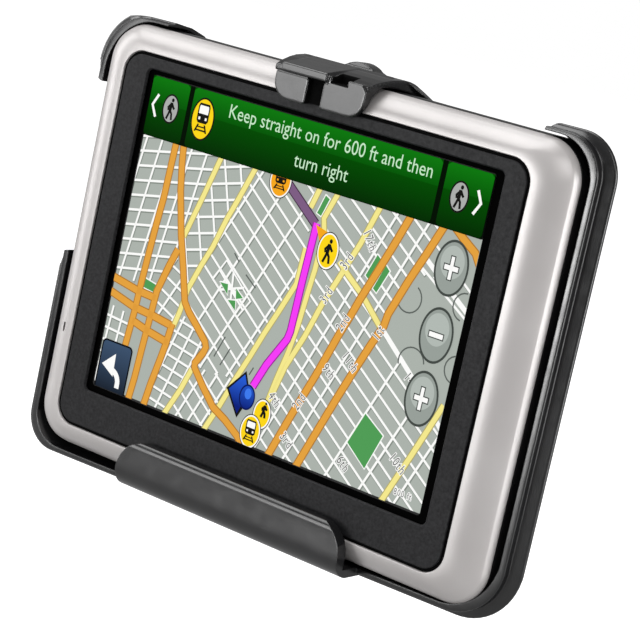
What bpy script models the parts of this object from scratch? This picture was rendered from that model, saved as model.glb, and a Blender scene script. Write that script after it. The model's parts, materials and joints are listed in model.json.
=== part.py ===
"""Portable GPS navigator seated in its form-fit cradle.

Seen from the front, X runs right and Z up. Depths along Y are measured back from the
front of the screen mask, in millimetres. The datum empty carries every piece, and moves
that frame so that the origin is the middle of the cradle's rear mounting pad.
"""
import math

import bmesh
import bpy
from mathutils import Matrix, Vector

MM = 0.001
GAP = 0.3                       # room left between pieces that touch

# ---- navigator -----------------------------------------------------------------------
BODY_X, BODY_Z, BODY_R = 48.0, 37.0, 9.0          # half width, half height, corner radius
BODY_BACK = 15.4                                  # flat back of the rear casing
BAND_DEPTH = 3.4                                  # how far the silver band falls back
SEAM = 4.3                                        # back edge of the front bezel
MASK_X, MASK_Z, MASK_R = 41.55, 32.8, 3.8
WINDOW_X, WINDOW_Z, WINDOW_R = 36.6, 28.1, 1.0    # opening in the mask
WINDOW_UP = 2.3                                   # the window sits above the middle
SCREEN_X, SCREEN_Z = 35.1, 26.5                   # raised front of the touch panel
LCD_X, LCD_Z, LCD_UP = 38.45, 31.95, -0.2
WALL = 1.5                                        # moulded wall of the casing
CURVE_START = 7.0                                 # depth where the casing starts to round
BACK_X, BACK_Z, BACK_R = 37.3, 28.3, 5.0          # flat part of the casing's back
BOARD_X, BOARD_Z, BOARD_R = 43.0, 32.5, 5.0
BOARD_FRONT, BOARD_BACK = 7.5, 8.5
PARTS_ON_BOARD = BOARD_BACK + GAP                 # seat of what is soldered on the back
FRAME_FRONT, FRAME_BACK = 6.1, 6.9
CASING_SCREWS = [(-35.0, 24.5), (35.0, 24.5), (35.0, -24.5), (-35.0, -24.5)]
BOARD_SCREWS = [(-39.5, -12.0), (39.5, 8.0), (-39.5, 28.0), (38.5, -28.0)]
SPEAKER_AT, SPEAKER_R = (30.2, -9.0), 9.5
USB_AT, CARD_AT = 8.0, 10.0                       # X of the socket below, Z of the slot at left
KEY_AT, KEY_DEPTH = 22.0, 9.2                     # X and depth of the power key
MIC_AT = (-44.3, -17.0)

# ---- cradle --------------------------------------------------------------------------
CLEAR = 0.4                                       # navigator to cradle wall
RIM_FRONT, LEDGE = 5.2, 7.0                       # depths of the rim and of its outer step
RIM_X, RIM_Z = 50.2, 38.6
FLANGE_X, FLANGE_Z, FLANGE_UP, FLANGE_R = 51.6, 39.5, -0.4, 11.8
PLATE_BACK = 18.2                                 # back of the cradle plate
PAD_BACK = 19.7                                   # back of the mounting pad: the origin
PAD_X, PAD_Z = 14.0, 30.5
PAD_HOLES = 24.28                                 # holes at this height above and below
LIP_X, LIP_TOP, LIP_BOTTOM = 24.0, -30.2, -38.9
LEFT_GAP = (-4.5, 25.5)                           # card access, between wall and clip
TOP_GAP = (-37.0, 39.5)                           # between the two top corner clips
PLATE_TOP = 33.2                                  # top edge of the plate in that gap
LATCH_IN, LATCH_OUT = 8.9, 10.6                   # radii of the latch about the casing edge
LATCH_ROOT = math.radians(52)                     # where it leaves the plate, from upright
LATCH_FRONT_X, LATCH_BACK_X = 9.3, 10.5
EAR_BOTTOM, EAR_FRONT = 31.8, -1.6
EARS = [(-8.7, -2.0), (1.1, 9.5)]                 # left and right end of each ear
EDGE_MID = BACK_Z                                 # height of the middle of the rounded edge

CORNER_STEPS = 5
CURVE_STEPS = 6


# ---- tools ---------------------------------------------------------------------------
for old in list(bpy.data.objects):
    bpy.data.objects.remove(old, do_unlink=True)

datum = bpy.data.objects.new("datum", None)
datum.location = (0.0, -PAD_BACK * MM, 0.0)
bpy.context.scene.collection.objects.link(datum)


def finish(name, roughness, colour, metallic=0.0, alpha=1.0):
    """A Principled material for one kind of surface."""
    made = bpy.data.materials.new(name)
    made.use_nodes = True
    shader = made.node_tree.nodes["Principled BSDF"]
    shader.inputs["Base Color"].default_value = (*colour, 1.0)
    shader.inputs["Roughness"].default_value = roughness
    shader.inputs["Metallic"].default_value = metallic
    shader.inputs["Alpha"].default_value = alpha
    return made


def outline(half_x, half_z, radius, up=0.0, across=0.0):
    """Corner-rounded rectangle as (x, z) points, the same number for every size."""
    points = []
    for corner, (sign_x, sign_z) in enumerate([(1, 1), (-1, 1), (-1, -1), (1, -1)]):
        for step in range(CORNER_STEPS + 1):
            angle = math.radians(90 * (corner + step / CORNER_STEPS))
            x = across + sign_x * (half_x - radius) + radius * math.cos(angle)
            z = up + sign_z * (half_z - radius) + radius * math.sin(angle)
            points.append((x, z))
    return points


def arc(centre, radius, start, end, steps):
    """Points of a circular arc in a plane, angles in degrees."""
    points = []
    for step in range(steps + 1):
        angle = math.radians(start + (end - start) * step / steps)
        points.append((centre[0] + radius * math.cos(angle), centre[1] + radius * math.sin(angle)))
    return points


def add_piece(name, mesh_data, material, origin=(0.0, 0.0, 0.0), smooth=True):
    """Turns a bmesh in millimetres into an object that hangs on the datum."""
    bmesh.ops.recalc_face_normals(mesh_data, faces=mesh_data.faces)
    mesh_data.transform(Matrix.Scale(MM, 4) @ Matrix.Translation(-Vector(origin)))
    mesh = bpy.data.meshes.new(name)
    mesh_data.to_mesh(mesh)
    mesh_data.free()
    if smooth:
        mesh.shade_smooth()
        mesh.set_sharp_from_angle(angle=math.radians(35))
    piece = bpy.data.objects.new(name, mesh)
    piece.data.materials.append(material)
    piece.location = Vector(origin) * MM
    piece.parent = datum
    bpy.context.scene.collection.objects.link(piece)
    return piece


def loft(mesh_data, sections, ring=False):
    """Skins (points, depth) sections; closes it into a ring or caps both ends."""
    loops = []
    for points, depth in sections:
        loops.append([mesh_data.verts.new((x, depth, z)) for x, z in points])
    following = loops[1:] + loops[:1] if ring else loops[1:]
    for near, far in zip(loops, following):
        for i in range(len(near)):
            j = (i + 1) % len(near)
            mesh_data.faces.new((near[i], near[j], far[j], far[i]))
    if not ring:
        mesh_data.faces.new(loops[0])
        mesh_data.faces.new(loops[-1])


def lofted(name, sections, material, ring=False):
    mesh_data = bmesh.new()
    loft(mesh_data, sections, ring)
    return add_piece(name, mesh_data, material)


def plate(name, shape, front, back, material):
    """A flat plate with the outline shape between two depths."""
    return lofted(name, [(shape, front), (shape, back)], material)


def add_box(mesh_data, low, high):
    corners = [(x, z) for x, z in ((high[0], high[2]), (low[0], high[2]), (low[0], low[2]),
                                   (high[0], low[2]))]
    loft(mesh_data, [(corners, low[1]), (corners, high[1])])


def box(name, low, high, material):
    mesh_data = bmesh.new()
    add_box(mesh_data, low, high)
    return add_piece(name, mesh_data, material)


def circle(centre, radius, sides):
    return arc(centre, radius, 0, 360 * (sides - 1) / sides, sides - 1)


def add_turned(mesh_data, centre, profile, sides):
    """A solid turned about a Y axis through centre, from (radius, depth) points."""
    loft(mesh_data, [(circle(centre, radius, sides), depth) for radius, depth in profile])


def turned(name, centre, profile, material, sides=16):
    mesh_data = bmesh.new()
    add_turned(mesh_data, centre, profile, sides)
    return add_piece(name, mesh_data, material)


def add_prism(mesh_data, profile, left, right):
    """A (y, z) profile drawn out along X."""
    near = [mesh_data.verts.new((left, y, z)) for y, z in profile]
    far = [mesh_data.verts.new((right, y, z)) for y, z in profile]
    for i in range(len(near)):
        j = (i + 1) % len(near)
        mesh_data.faces.new((near[i], near[j], far[j], far[i]))
    mesh_data.faces.new(near)
    mesh_data.faces.new(far)


def prism(name, profile, left, right, material):
    mesh_data = bmesh.new()
    add_prism(mesh_data, profile, left, right)
    return add_piece(name, mesh_data, material)


def combine(piece, name, mesh_data, operation):
    """Cuts from a piece, joins to it or crops it with a hidden tool body."""
    tool = add_piece(name, mesh_data, piece.data.materials[0], smooth=False)
    tool.hide_render = True
    tool.display_type = "WIRE"
    modifier = piece.modifiers.new(name, "BOOLEAN")
    modifier.operation = operation
    modifier.solver = "EXACT"
    modifier.object = tool


def ribbon(name, path, thickness, left, right, material):
    """A thin strip that follows a (y, z) path, with its width along X."""
    outer, inner = [], []
    for i, (y, z) in enumerate(path):
        before = Vector(path[max(i - 1, 0)])
        after = Vector(path[min(i + 1, len(path) - 1)])
        along = (after - before).normalized()
        side = Vector((-along.y, along.x)) * thickness / 2
        outer.append((y + side.x, z + side.y))
        inner.append((y - side.x, z - side.y))
    return prism(name, outer + inner[::-1], left, right, material)


def wire(name, points, radius, material):
    """A short insulated lead along hand-placed points."""
    curve = bpy.data.curves.new(name, "CURVE")
    curve.dimensions = "3D"
    curve.bevel_depth = radius * MM
    curve.bevel_resolution = 1
    curve.use_fill_caps = True
    spline = curve.splines.new("POLY")
    spline.points.add(len(points) - 1)
    for place, point in zip(spline.points, points):
        place.co = (*(Vector(point) * MM), 1.0)
    curve.materials.append(material)
    piece = bpy.data.objects.new(name, curve)
    piece.parent = datum
    bpy.context.scene.collection.objects.link(piece)


silver = finish("satin_silver", 0.35, (0.62, 0.60, 0.58), 0.6)
mask_grey = finish("mask_grey", 0.5, (0.04, 0.04, 0.042))
black_plastic = finish("black_plastic", 0.42, (0.018, 0.018, 0.019))
cradle_black = finish("cradle_black", 0.45, (0.02, 0.02, 0.021))
foam = finish("black_foam", 0.9, (0.01, 0.01, 0.01))
touch_glass = finish("touch_glass", 0.08, (0.06, 0.07, 0.07))
lcd_grey = finish("lcd_grey", 0.2, (0.1, 0.11, 0.12))
acrylic = finish("acrylic", 0.1, (0.9, 0.92, 0.93))
tin = finish("tinned_steel", 0.3, (0.6, 0.6, 0.58), 1.0)
film = finish("amber_film", 0.4, (0.45, 0.2, 0.03))
board_green = finish("board_green", 0.4, (0.02, 0.12, 0.04))
chip_black = finish("chip_black", 0.5, (0.02, 0.02, 0.022))
ceramic = finish("patch_ceramic", 0.6, (0.62, 0.55, 0.42))
foil = finish("battery_foil", 0.35, (0.55, 0.56, 0.57), 0.8)
steel = finish("screw_steel", 0.3, (0.35, 0.35, 0.36), 1.0)
ivory = finish("ivory_nylon", 0.5, (0.8, 0.76, 0.65))
red_wire = finish("red_wire", 0.45, (0.5, 0.02, 0.02))
black_wire = finish("black_wire", 0.45, (0.02, 0.02, 0.02))
boot_rubber = finish("boot_rubber", 0.8, (0.03, 0.03, 0.03))


# ---- front ---------------------------------------------------------------------------
def band_depth(share):
    """Depth of the silver band, from its inner edge (0) to its outer edge (1)."""
    return BAND_DEPTH * (1 - math.sqrt(max(0.0, 1 - share * share)))


def front_bezel():
    inner = (MASK_X + 0.15, MASK_Z + 0.15, MASK_R + 0.15)
    outer = (BODY_X, BODY_Z, BODY_R)
    sections = []
    for share in (0.0, 0.25, 0.45, 0.62, 0.76, 0.87, 0.95, 1.0):
        size = [a + (b - a) * share for a, b in zip(inner, outer)]
        sections.append((outline(*size), band_depth(share)))
    sections.append((outline(*outer), SEAM))
    sections.append((outline(BODY_X - 1.6, BODY_Z - 1.6, BODY_R - 1.6), SEAM))
    sections.append((outline(45.4, 34.7, 6.8), 2.9))
    sections.append((outline(43.0, 33.6, 4.8), 2.0))
    sections.append((outline(39.3, 31.6, 2.5), 2.0))
    sections.append((outline(39.3, 31.6, 2.5), 0.8))
    sections.append((outline(*inner), 0.8))
    piece = lofted("front_bezel", sections, silver, ring=True)
    slot = bmesh.new()
    add_box(slot, (MIC_AT[0] - 0.85, -1.0, MIC_AT[1] - 1.1), (MIC_AT[0] - 0.15, 4.2, MIC_AT[1] + 1.1))
    combine(piece, "microphone_slot", slot, "DIFFERENCE")


def screen_stack():
    window = outline(WINDOW_X, WINDOW_Z, WINDOW_R, WINDOW_UP)
    mask = outline(MASK_X, MASK_Z, MASK_R)
    lofted("mask_frame", [(mask, 0.0), (mask, 0.5), (window, 0.5), (window, 0.0)], mask_grey, ring=True)

    around = outline(38.2, 30.6, 1.5)
    inside = outline(SCREEN_X + GAP, SCREEN_Z + GAP, 0.9, WINDOW_UP)
    lofted("screen_gasket", [(around, 0.8), (around, 1.2), (inside, 1.2), (inside, 0.8)], foam, ring=True)

    raised = outline(SCREEN_X, SCREEN_Z, 0.7, WINDOW_UP)
    base = outline(38.4, 30.9, 1.0)
    lofted("touch_panel", [(raised, 0.9), (raised, 1.5), (base, 1.5), (base, 2.6)], touch_glass)

    plate("lcd_glass", outline(LCD_X, LCD_Z, 0.5, LCD_UP), 2.9, 4.1, lcd_grey)
    plate("light_guide", outline(LCD_X - 0.3, LCD_Z - 0.3, 0.5, LCD_UP), 4.4, 5.2, acrylic)
    out, into = outline(39.15, 32.65, 0.9, LCD_UP), outline(38.75, 32.25, 0.5, LCD_UP)
    lofted("backlight_tray", [(out, 5.8), (out, 2.9), (into, 2.9), (into, 5.5)], tin)

    lcd_path = [(4.4, -33.0), (4.7, -34.0), (6.5, -34.6), (8.4, -34.1), (9.0, -33.0), (9.0, -30.6)]
    ribbon("lcd_flex", lcd_path, 0.2, -20.0, -4.0, film)
    touch_path = [(2.4, -31.3), (2.45, -32.8), (3.0, -33.8), (4.6, -34.4), (6.5, -34.6), (8.4, -34.1),
                  (9.0, -33.0), (9.0, -30.6)]
    ribbon("touch_flex", touch_path, 0.2, -31.0, -24.0, film)
    box("lcd_connector", (-20.5, PARTS_ON_BOARD, -30.2), (-3.5, 9.9, -27.2), ivory)
    box("touch_connector", (-31.4, PARTS_ON_BOARD, -30.2), (-23.6, 9.9, -28.0), ivory)


# ---- electronics ---------------------------------------------------------------------
def mid_frame():
    shape = outline(44.0, 33.6, 6.0)
    piece = plate("mid_frame", shape, FRAME_FRONT, FRAME_BACK, tin)
    posts, holes = bmesh.new(), bmesh.new()
    for place in CASING_SCREWS + BOARD_SCREWS:
        add_turned(posts, place, [(2.2, FRAME_FRONT + 0.1), (2.2, BOARD_FRONT - GAP)], 10)
        add_turned(holes, place, [(1.25, FRAME_FRONT - 1), (1.25, BOARD_FRONT + 1)], 10)
    for side in (-1, 1):
        middle = 17.0 * side
        add_box(holes, (middle - 13, FRAME_FRONT - 1, -18), (middle + 13, FRAME_BACK + 1, 18))
    combine(piece, "frame_posts", posts, "UNION")
    combine(piece, "frame_holes", holes, "DIFFERENCE")


def main_board():
    piece = plate("main_board", outline(BOARD_X, BOARD_Z, BOARD_R), BOARD_FRONT, BOARD_BACK, board_green)
    holes = bmesh.new()
    for place in CASING_SCREWS + BOARD_SCREWS:
        add_turned(holes, place, [(1.3, BOARD_FRONT - 1), (1.3, BOARD_BACK + 1)], 10)
    combine(piece, "board_holes", holes, "DIFFERENCE")


def on_board():
    seat = PARTS_ON_BOARD
    box("processor", (-26.0, seat, 16.5), (-14.0, seat + 1.1, 28.5), chip_black)
    box("memory_chip", (-11.0, seat, 18.0), (-1.5, seat + 1.0, 27.0), chip_black)
    can, room = outline(15.0, 8.8, 0.8, 22.3, -14.0), outline(14.7, 8.5, 0.5, 22.3, -14.0)
    lofted("rf_shield", [(can, 10.9), (can, seat), (room, seat), (room, 10.6)], tin)
    box("patch_antenna", (15.0, seat, 13.5), (30.0, seat + 4.0, 28.5), ceramic)
    box("battery_pad", (-28.0, seat, -20.0), (18.0, seat + 0.3, 10.0), foam)
    plate("battery", outline(25.0, 17.0, 1.5, -5.0, -5.0), seat + 0.6, 13.3, foil)
    box("battery_plug", (-39.0, seat, -6.5), (-34.0, 11.2, -0.5), ivory)
    leads = [("battery_lead_red", -2.4, red_wire), ("battery_lead_black", -4.6, black_wire)]
    for name, height, colour in leads:
        wire(name, [(-33.6, 10.0, height), (-32.6, 10.6, height), (-31.4, 11.0, height),
                    (-30.35, 11.0, height)], 0.5, colour)


def usb_socket():
    """Mini-USB shell standing on its mouth, with the contact tongue inside."""
    seat = PARTS_ON_BOARD
    middle = seat + 1.9
    bottom, top = -32.0, -23.0
    mesh_data = bmesh.new()
    add_box(mesh_data, (USB_AT - 3.85, seat, bottom), (USB_AT + 3.85, seat + 3.8, top))
    piece = add_piece("usb_socket", mesh_data, tin)
    hollow = bmesh.new()
    add_box(hollow, (USB_AT - 3.45, seat + 0.4, bottom - 1), (USB_AT + 3.45, seat + 3.4, top - 1.2))
    combine(piece, "usb_hollow", hollow, "DIFFERENCE")
    tongue = bmesh.new()
    add_box(tongue, (USB_AT - 2.3, middle - 0.4, bottom + 0.8), (USB_AT + 2.3, middle + 0.4, top - 0.6))
    combine(piece, "usb_tongue", tongue, "UNION")


def card_socket():
    """Micro memory-card socket, open to the left."""
    seat = PARTS_ON_BOARD
    piece = box("card_socket", (-42.5, seat, CARD_AT - 6.5), (-31.2, seat + 1.6, CARD_AT + 6.5), tin)
    hollow = bmesh.new()
    add_box(hollow, (-43.5, seat + 0.3, CARD_AT - 5.8), (-32.0, seat + 1.2, CARD_AT + 5.8))
    combine(piece, "card_hollow", hollow, "DIFFERENCE")


def speaker():
    """Flat loudspeaker that fires through the back of the casing."""
    r = SPEAKER_R
    profile = [(5.0, 9.0), (6.0, 9.2), (6.0, 10.6), (r, 11.2), (r, 12.6), (r - 1.2, 12.6)]
    profile += [(r - 2.2, 12.2), (4.0, 11.7), (3.0, 12.1), (1.0, 12.4)]
    turned("speaker", SPEAKER_AT, profile, black_plastic)
    ring = circle(SPEAKER_AT, r, 16)
    bore = circle(SPEAKER_AT, r - 1.2, 16)
    lofted("speaker_gasket", [(ring, 12.9), (ring, 13.6), (bore, 13.6), (bore, 12.9)], foam, ring=True)
    for name, x, colour in (("speaker_lead_red", 29.0, red_wire), ("speaker_lead_black", 31.4, black_wire)):
        wire(name, [(x, 11.6, 0.95), (x, 11.3, 2.2), (x, 10.2, 3.6), (x, 9.4, 4.6)], 0.4, colour)


def microphone():
    turned("microphone", MIC_AT, [(1.1, 3.2), (1.1, 4.3)], tin, 12)
    turned("mic_boot", MIC_AT, [(1.6, 5.8), (1.6, 3.9), (1.4, 3.9), (1.4, 4.6)], boot_rubber, 12)


def power_key():
    """Side-to-side key in the top edge, its switch, and the nub that it drives."""
    seat = PARTS_ON_BOARD
    box("power_switch", (KEY_AT - 4.0, seat, 29.0), (KEY_AT + 4.0, 11.0, 31.5), chip_black)
    origin = (KEY_AT, KEY_DEPTH, 34.0)
    nub = bmesh.new()
    add_box(nub, (KEY_AT - 0.8, KEY_DEPTH - 0.5, 31.8), (KEY_AT + 0.8, KEY_DEPTH + 0.7, 32.7))
    add_piece("switch_actuator", nub, ivory, origin)
    slider = bmesh.new()
    add_box(slider, (KEY_AT - 6.8, 7.4, 33.0), (KEY_AT + 6.8, 11.0, 33.7))
    key = add_piece("power_slider", slider, black_plastic, origin)
    stem = bmesh.new()
    add_box(stem, (KEY_AT - 3.2, KEY_DEPTH - 1.0, 33.4), (KEY_AT + 3.2, KEY_DEPTH + 1.0, 36.6))
    combine(key, "key_stem", stem, "UNION")
    fork = bmesh.new()
    for side in (-1, 1):
        low, high = sorted((KEY_AT + 1.2 * side, KEY_AT + 2.2 * side))
        add_box(fork, (low, KEY_DEPTH - 0.5, 31.9), (high, KEY_DEPTH + 0.7, 33.3))
    combine(key, "key_fork", fork, "UNION")


# ---- rear casing ---------------------------------------------------------------------
def rounded_back(start, flat, depth_start, depth_flat):
    """Sections of a back that rounds over from its side to its flat face."""
    sections = []
    for step in range(1, CURVE_STEPS + 1):
        angle = math.radians(90 * step / CURVE_STEPS)
        size = [b + (a - b) * math.cos(angle) for a, b in zip(start, flat)]
        sections.append((outline(*size), depth_start + (depth_flat - depth_start) * math.sin(angle)))
    return sections


def rear_casing():
    side = (BODY_X - 0.2, BODY_Z - 0.2, BODY_R - 0.2)
    edge = (BODY_X - 0.1, BODY_Z - 0.1, BODY_R - 0.1)
    inner = (BODY_X - WALL - 0.2, BODY_Z - WALL - 0.2, BODY_R - WALL - 0.2)
    outside = [(outline(*edge), SEAM + GAP), (outline(*side), CURVE_START)]
    outside += rounded_back(side, (BACK_X, BACK_Z, BACK_R), CURVE_START, BODY_BACK)
    inside = [(outline(*inner), SEAM + GAP), (outline(*inner), CURVE_START)]
    inside += rounded_back(inner, (BACK_X - 0.2, BACK_Z - 0.2, BACK_R - 0.5), CURVE_START, BODY_BACK - WALL)
    piece = lofted("rear_casing", outside[::-1] + inside, black_plastic)

    bosses, holes = bmesh.new(), bmesh.new()
    for place in CASING_SCREWS:
        add_turned(bosses, place, [(2.8, BOARD_BACK + 0.5), (2.8, BODY_BACK - 0.9)], 12)
        stepped = [(1.25, BOARD_BACK - 0.5), (1.25, 13.2), (2.15, 13.2), (2.15, BODY_BACK + 1)]
        add_turned(holes, place, stepped, 12)
    for step in range(-3, 4):
        height = SPEAKER_AT[1] + 2.2 * step
        half = math.sqrt((SPEAKER_R - 2.0) ** 2 - (2.2 * step) ** 2)
        add_box(holes, (SPEAKER_AT[0] - half, BODY_BACK - WALL - 0.15, height - 0.5),
                (SPEAKER_AT[0] + half, BODY_BACK + 1, height + 0.5))
    add_box(holes, (USB_AT - 4.6, PARTS_ON_BOARD - 0.3, -39.0), (USB_AT + 4.6, 13.1, -31.5))
    card = (PARTS_ON_BOARD - 0.1, PARTS_ON_BOARD + 1.5)
    add_box(holes, (-50.0, card[0], CARD_AT - 6.3), (-44.5, card[1], CARD_AT + 6.3))
    add_box(holes, (KEY_AT - 5.2, KEY_DEPTH - 1.4, 34.0), (KEY_AT + 5.2, KEY_DEPTH + 1.4, 39.0))
    combine(piece, "casing_bosses", bosses, "UNION")
    combine(piece, "casing_holes", holes, "DIFFERENCE")


def screws():
    for number, place in enumerate(CASING_SCREWS, 1):
        profile = [(0.9, 6.4), (0.9, 13.5), (1.8, 13.5), (1.8, 14.6), (1.5, 14.9), (0.7, 14.9), (0.5, 14.2)]
        turned(f"casing_screw_{number}", place, profile, steel, 10)
    for number, place in enumerate(BOARD_SCREWS, 1):
        profile = [(0.8, 6.3), (0.8, PARTS_ON_BOARD), (1.7, PARTS_ON_BOARD)]
        profile += [(1.6, 9.6), (0.7, 9.6), (0.5, 9.1)]
        turned(f"board_screw_{number}", place, profile, steel, 10)


# ---- cradle --------------------------------------------------------------------------
def cradle_cup():
    """The whole tray before its gaps are cut: rim, stepped flange and rounded back."""
    seat = (BODY_X + CLEAR, BODY_Z + CLEAR, BODY_R + CLEAR)
    inside = [(outline(*seat), RIM_FRONT), (outline(*seat), CURVE_START)]
    inside += rounded_back(seat, (BACK_X + 0.3, BACK_Z + 0.3, BACK_R), CURVE_START, BODY_BACK + 0.45)
    rim = outline(RIM_X, RIM_Z, 10.9, FLANGE_UP)
    outside = [(rim, RIM_FRONT), (rim, LEDGE)]
    outside.append((outline(FLANGE_X, FLANGE_Z, FLANGE_R, FLANGE_UP), LEDGE))
    fillet = 3.5
    slope = []
    for angle in (0, 17, 34, 50):
        inset = fillet * (1 - math.cos(math.radians(angle)))
        slope.append((inset, LEDGE + 0.6 + fillet * math.sin(math.radians(angle))))
    slope += [(9.0, 16.9), (10.8, 17.8), (13.0, PLATE_BACK)]
    for inset, depth in slope:
        size = (FLANGE_X - inset, FLANGE_Z - 0.7 * inset, FLANGE_R - 0.4 * inset)
        outside.append((outline(*size, FLANGE_UP), depth))
    return lofted("cradle_shell", outside[::-1] + inside, cradle_black)


def gap_cutters():
    """Tool bodies for the card gap at left and the open top, with rounded wall ends."""
    low, high = LEFT_GAP
    round_end = 3.3
    seat_x = BODY_X + CLEAR
    left = [(-43.0, low), (-seat_x, low)]
    left += arc((-seat_x, low - round_end), round_end, 90, 180, 4)
    left += [(-60.0, low - round_end), (-60.0, high + round_end)]
    left += arc((-seat_x, high + round_end), round_end, 180, 270, 4)
    left += [(-43.0, high)]
    start, end = TOP_GAP
    seat_z = BODY_Z + CLEAR
    nose = 1.6
    top = [(end, PLATE_TOP), (end, seat_z)]
    top += arc((end + nose, seat_z), nose, 180, 90, 3)
    top += [(end + nose, 46.0), (start - nose, 46.0)]
    top += arc((start - nose, seat_z), nose, 90, 0, 3)
    top += [(start, PLATE_TOP)]
    tools = bmesh.new()
    loft(tools, [(left, -5.0), (left, 25.0)])
    loft(tools, [(top, -5.0), (top, 25.0)])
    return tools


def lip_body():
    """The front lip and the floor under it, with rounded upper corners."""
    inner = -0.55
    profile = [(inner, LIP_TOP - 0.6), (inner - 0.5, LIP_TOP), (inner - 1.0, LIP_TOP)]
    profile += [(-2.4, LIP_TOP - 0.7), (-2.75, LIP_TOP - 2.0)]
    profile += arc((0.85, LIP_BOTTOM + 3.6), 3.6, 180, 270, 5)
    profile += [(8.6, LIP_BOTTOM + 0.2), (8.6, -BODY_Z - CLEAR - 0.5)]
    profile += [(4.8, -BODY_Z - CLEAR), (inner, -BODY_Z - CLEAR)]
    lip = prism("lip_tool", profile, -LIP_X, LIP_X, cradle_black)
    corner = 5.4
    front = arc((LIP_X - corner, LIP_TOP - corner), corner, 0, 90, 5)
    front += arc((corner - LIP_X, LIP_TOP - corner), corner, 90, 180, 5)
    front += [(-LIP_X, LIP_BOTTOM - 3), (LIP_X, LIP_BOTTOM - 3)]
    crop = bmesh.new()
    loft(crop, [(front, -6.0), (front, 12.0)])
    combine(lip, "lip_crop", crop, "INTERSECT")
    return lip


def cradle():
    shell = cradle_cup()
    combine(shell, "cradle_gaps", gap_cutters(), "DIFFERENCE")

    lip = lip_body()
    lip.hide_render = True
    lip.display_type = "WIRE"
    joined = shell.modifiers.new("lip", "BOOLEAN")
    joined.operation = "UNION"
    joined.solver = "EXACT"
    joined.object = lip

    pad = bmesh.new()
    loft(pad, [(outline(PAD_X, PAD_Z, 6.0), 16.6), (outline(PAD_X, PAD_Z, 6.0), PAD_BACK)])
    combine(shell, "mounting_pad", pad, "UNION")

    holes = bmesh.new()
    for side in (-1, 1):
        place = (0.0, side * PAD_HOLES)
        add_turned(holes, place, [(4.6, 14.0), (4.6, 18.3), (2.6, 18.3), (2.6, PAD_BACK + 1)], 6 * 2)
    add_turned(holes, SPEAKER_AT, [(SPEAKER_R, 14.5), (SPEAKER_R, 20.0)], 20)
    add_box(holes, (USB_AT - 7.6, 6.2, -46.0), (USB_AT + 7.6, 14.6, -31.0))
    combine(shell, "cradle_holes", holes, "DIFFERENCE")


def latch_profile():
    """Roof of the latch in (y, z): over the top edge and round to its root."""
    steps = 6
    outer, inner = [], []
    for step in range(steps + 1):
        angle = LATCH_ROOT * step / steps
        for radius, side in ((LATCH_OUT, outer), (LATCH_IN, inner)):
            side.append((CURVE_START + radius * math.sin(angle), EDGE_MID + radius * math.cos(angle)))
    front = [(EAR_FRONT, 36.4), (EAR_FRONT, 37.4), (-1.0, 37.9), (1.0, 38.5), (4.0, 39.0)]
    under = [(3.6, BODY_Z + CLEAR), (2.6, BODY_Z + CLEAR), (0.6, 36.4)]
    return front + outer + inner[::-1] + under


def latch_pivot():
    radius = (LATCH_IN + LATCH_OUT) / 2
    return (0.0, CURVE_START + radius * math.sin(LATCH_ROOT), EDGE_MID + radius * math.cos(LATCH_ROOT))


def latch_tongue():
    origin = latch_pivot()
    roof = bmesh.new()
    add_prism(roof, latch_profile(), -1.0, 1.0)
    for vertex in roof.verts:
        share = min(1.0, max(0.0, (vertex.co.y - EAR_FRONT) / (CURVE_START - EAR_FRONT)))
        vertex.co.x *= LATCH_FRONT_X + (LATCH_BACK_X - LATCH_FRONT_X) * share
    piece = add_piece("latch_tongue", roof, cradle_black, origin)

    ears = bmesh.new()
    for (left, right), (outer_corner, inner_corner) in zip(EARS, ((3.0, 0.8), (0.8, 3.0))):
        shape = [(right, 37.2), (left, 37.2)]
        shape += arc((left + outer_corner, EAR_BOTTOM + outer_corner), outer_corner, 180, 270, 4)
        shape += arc((right - inner_corner, EAR_BOTTOM + inner_corner), inner_corner, 270, 360, 4)
        loft(ears, [(shape, EAR_FRONT + 0.05), (shape, 3.0)])
    combine(piece, "latch_ears", ears, "UNION")

    ridge = bmesh.new()
    hump = [(-4.3, 38.0), (-4.3, 38.6), (-1.2, 39.9), (1.2, 39.9), (4.3, 38.6), (4.3, 38.0)]
    loft(ridge, [(hump, 8.2), (hump, 11.0)])
    combine(piece, "latch_ridge", ridge, "UNION")

    clearance = bmesh.new()
    room = [(6.0, EAR_BOTTOM - 2), (-CLEAR, EAR_BOTTOM - 2), (-CLEAR, MASK_Z + 0.3)]
    for share in (0.35, 0.6, 0.8, 0.92):
        height = MASK_Z + (BODY_Z - MASK_Z) * share
        room.append((band_depth(share) - CLEAR, height + 0.15))
    room += [(2.6, BODY_Z + CLEAR - 0.02), (6.0, BODY_Z + CLEAR - 0.02)]
    add_prism(clearance, room, -15.0, 15.0)
    combine(piece, "latch_clearance", clearance, "DIFFERENCE")


front_bezel()
screen_stack()
mid_frame()
main_board()
on_board()
usb_socket()
card_socket()
speaker()
microphone()
power_key()
rear_casing()
screws()
cradle()
latch_tongue()
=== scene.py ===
"""Looks of the portable GPS navigator in its cradle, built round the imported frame.

Shapes are drawn in millimetres, with depth measured back from the front of the screen
mask, and placed in the row frame when each piece is finished.
"""
import json
import math
import random

import bmesh
import bpy
from mathutils import Matrix, Vector


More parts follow.
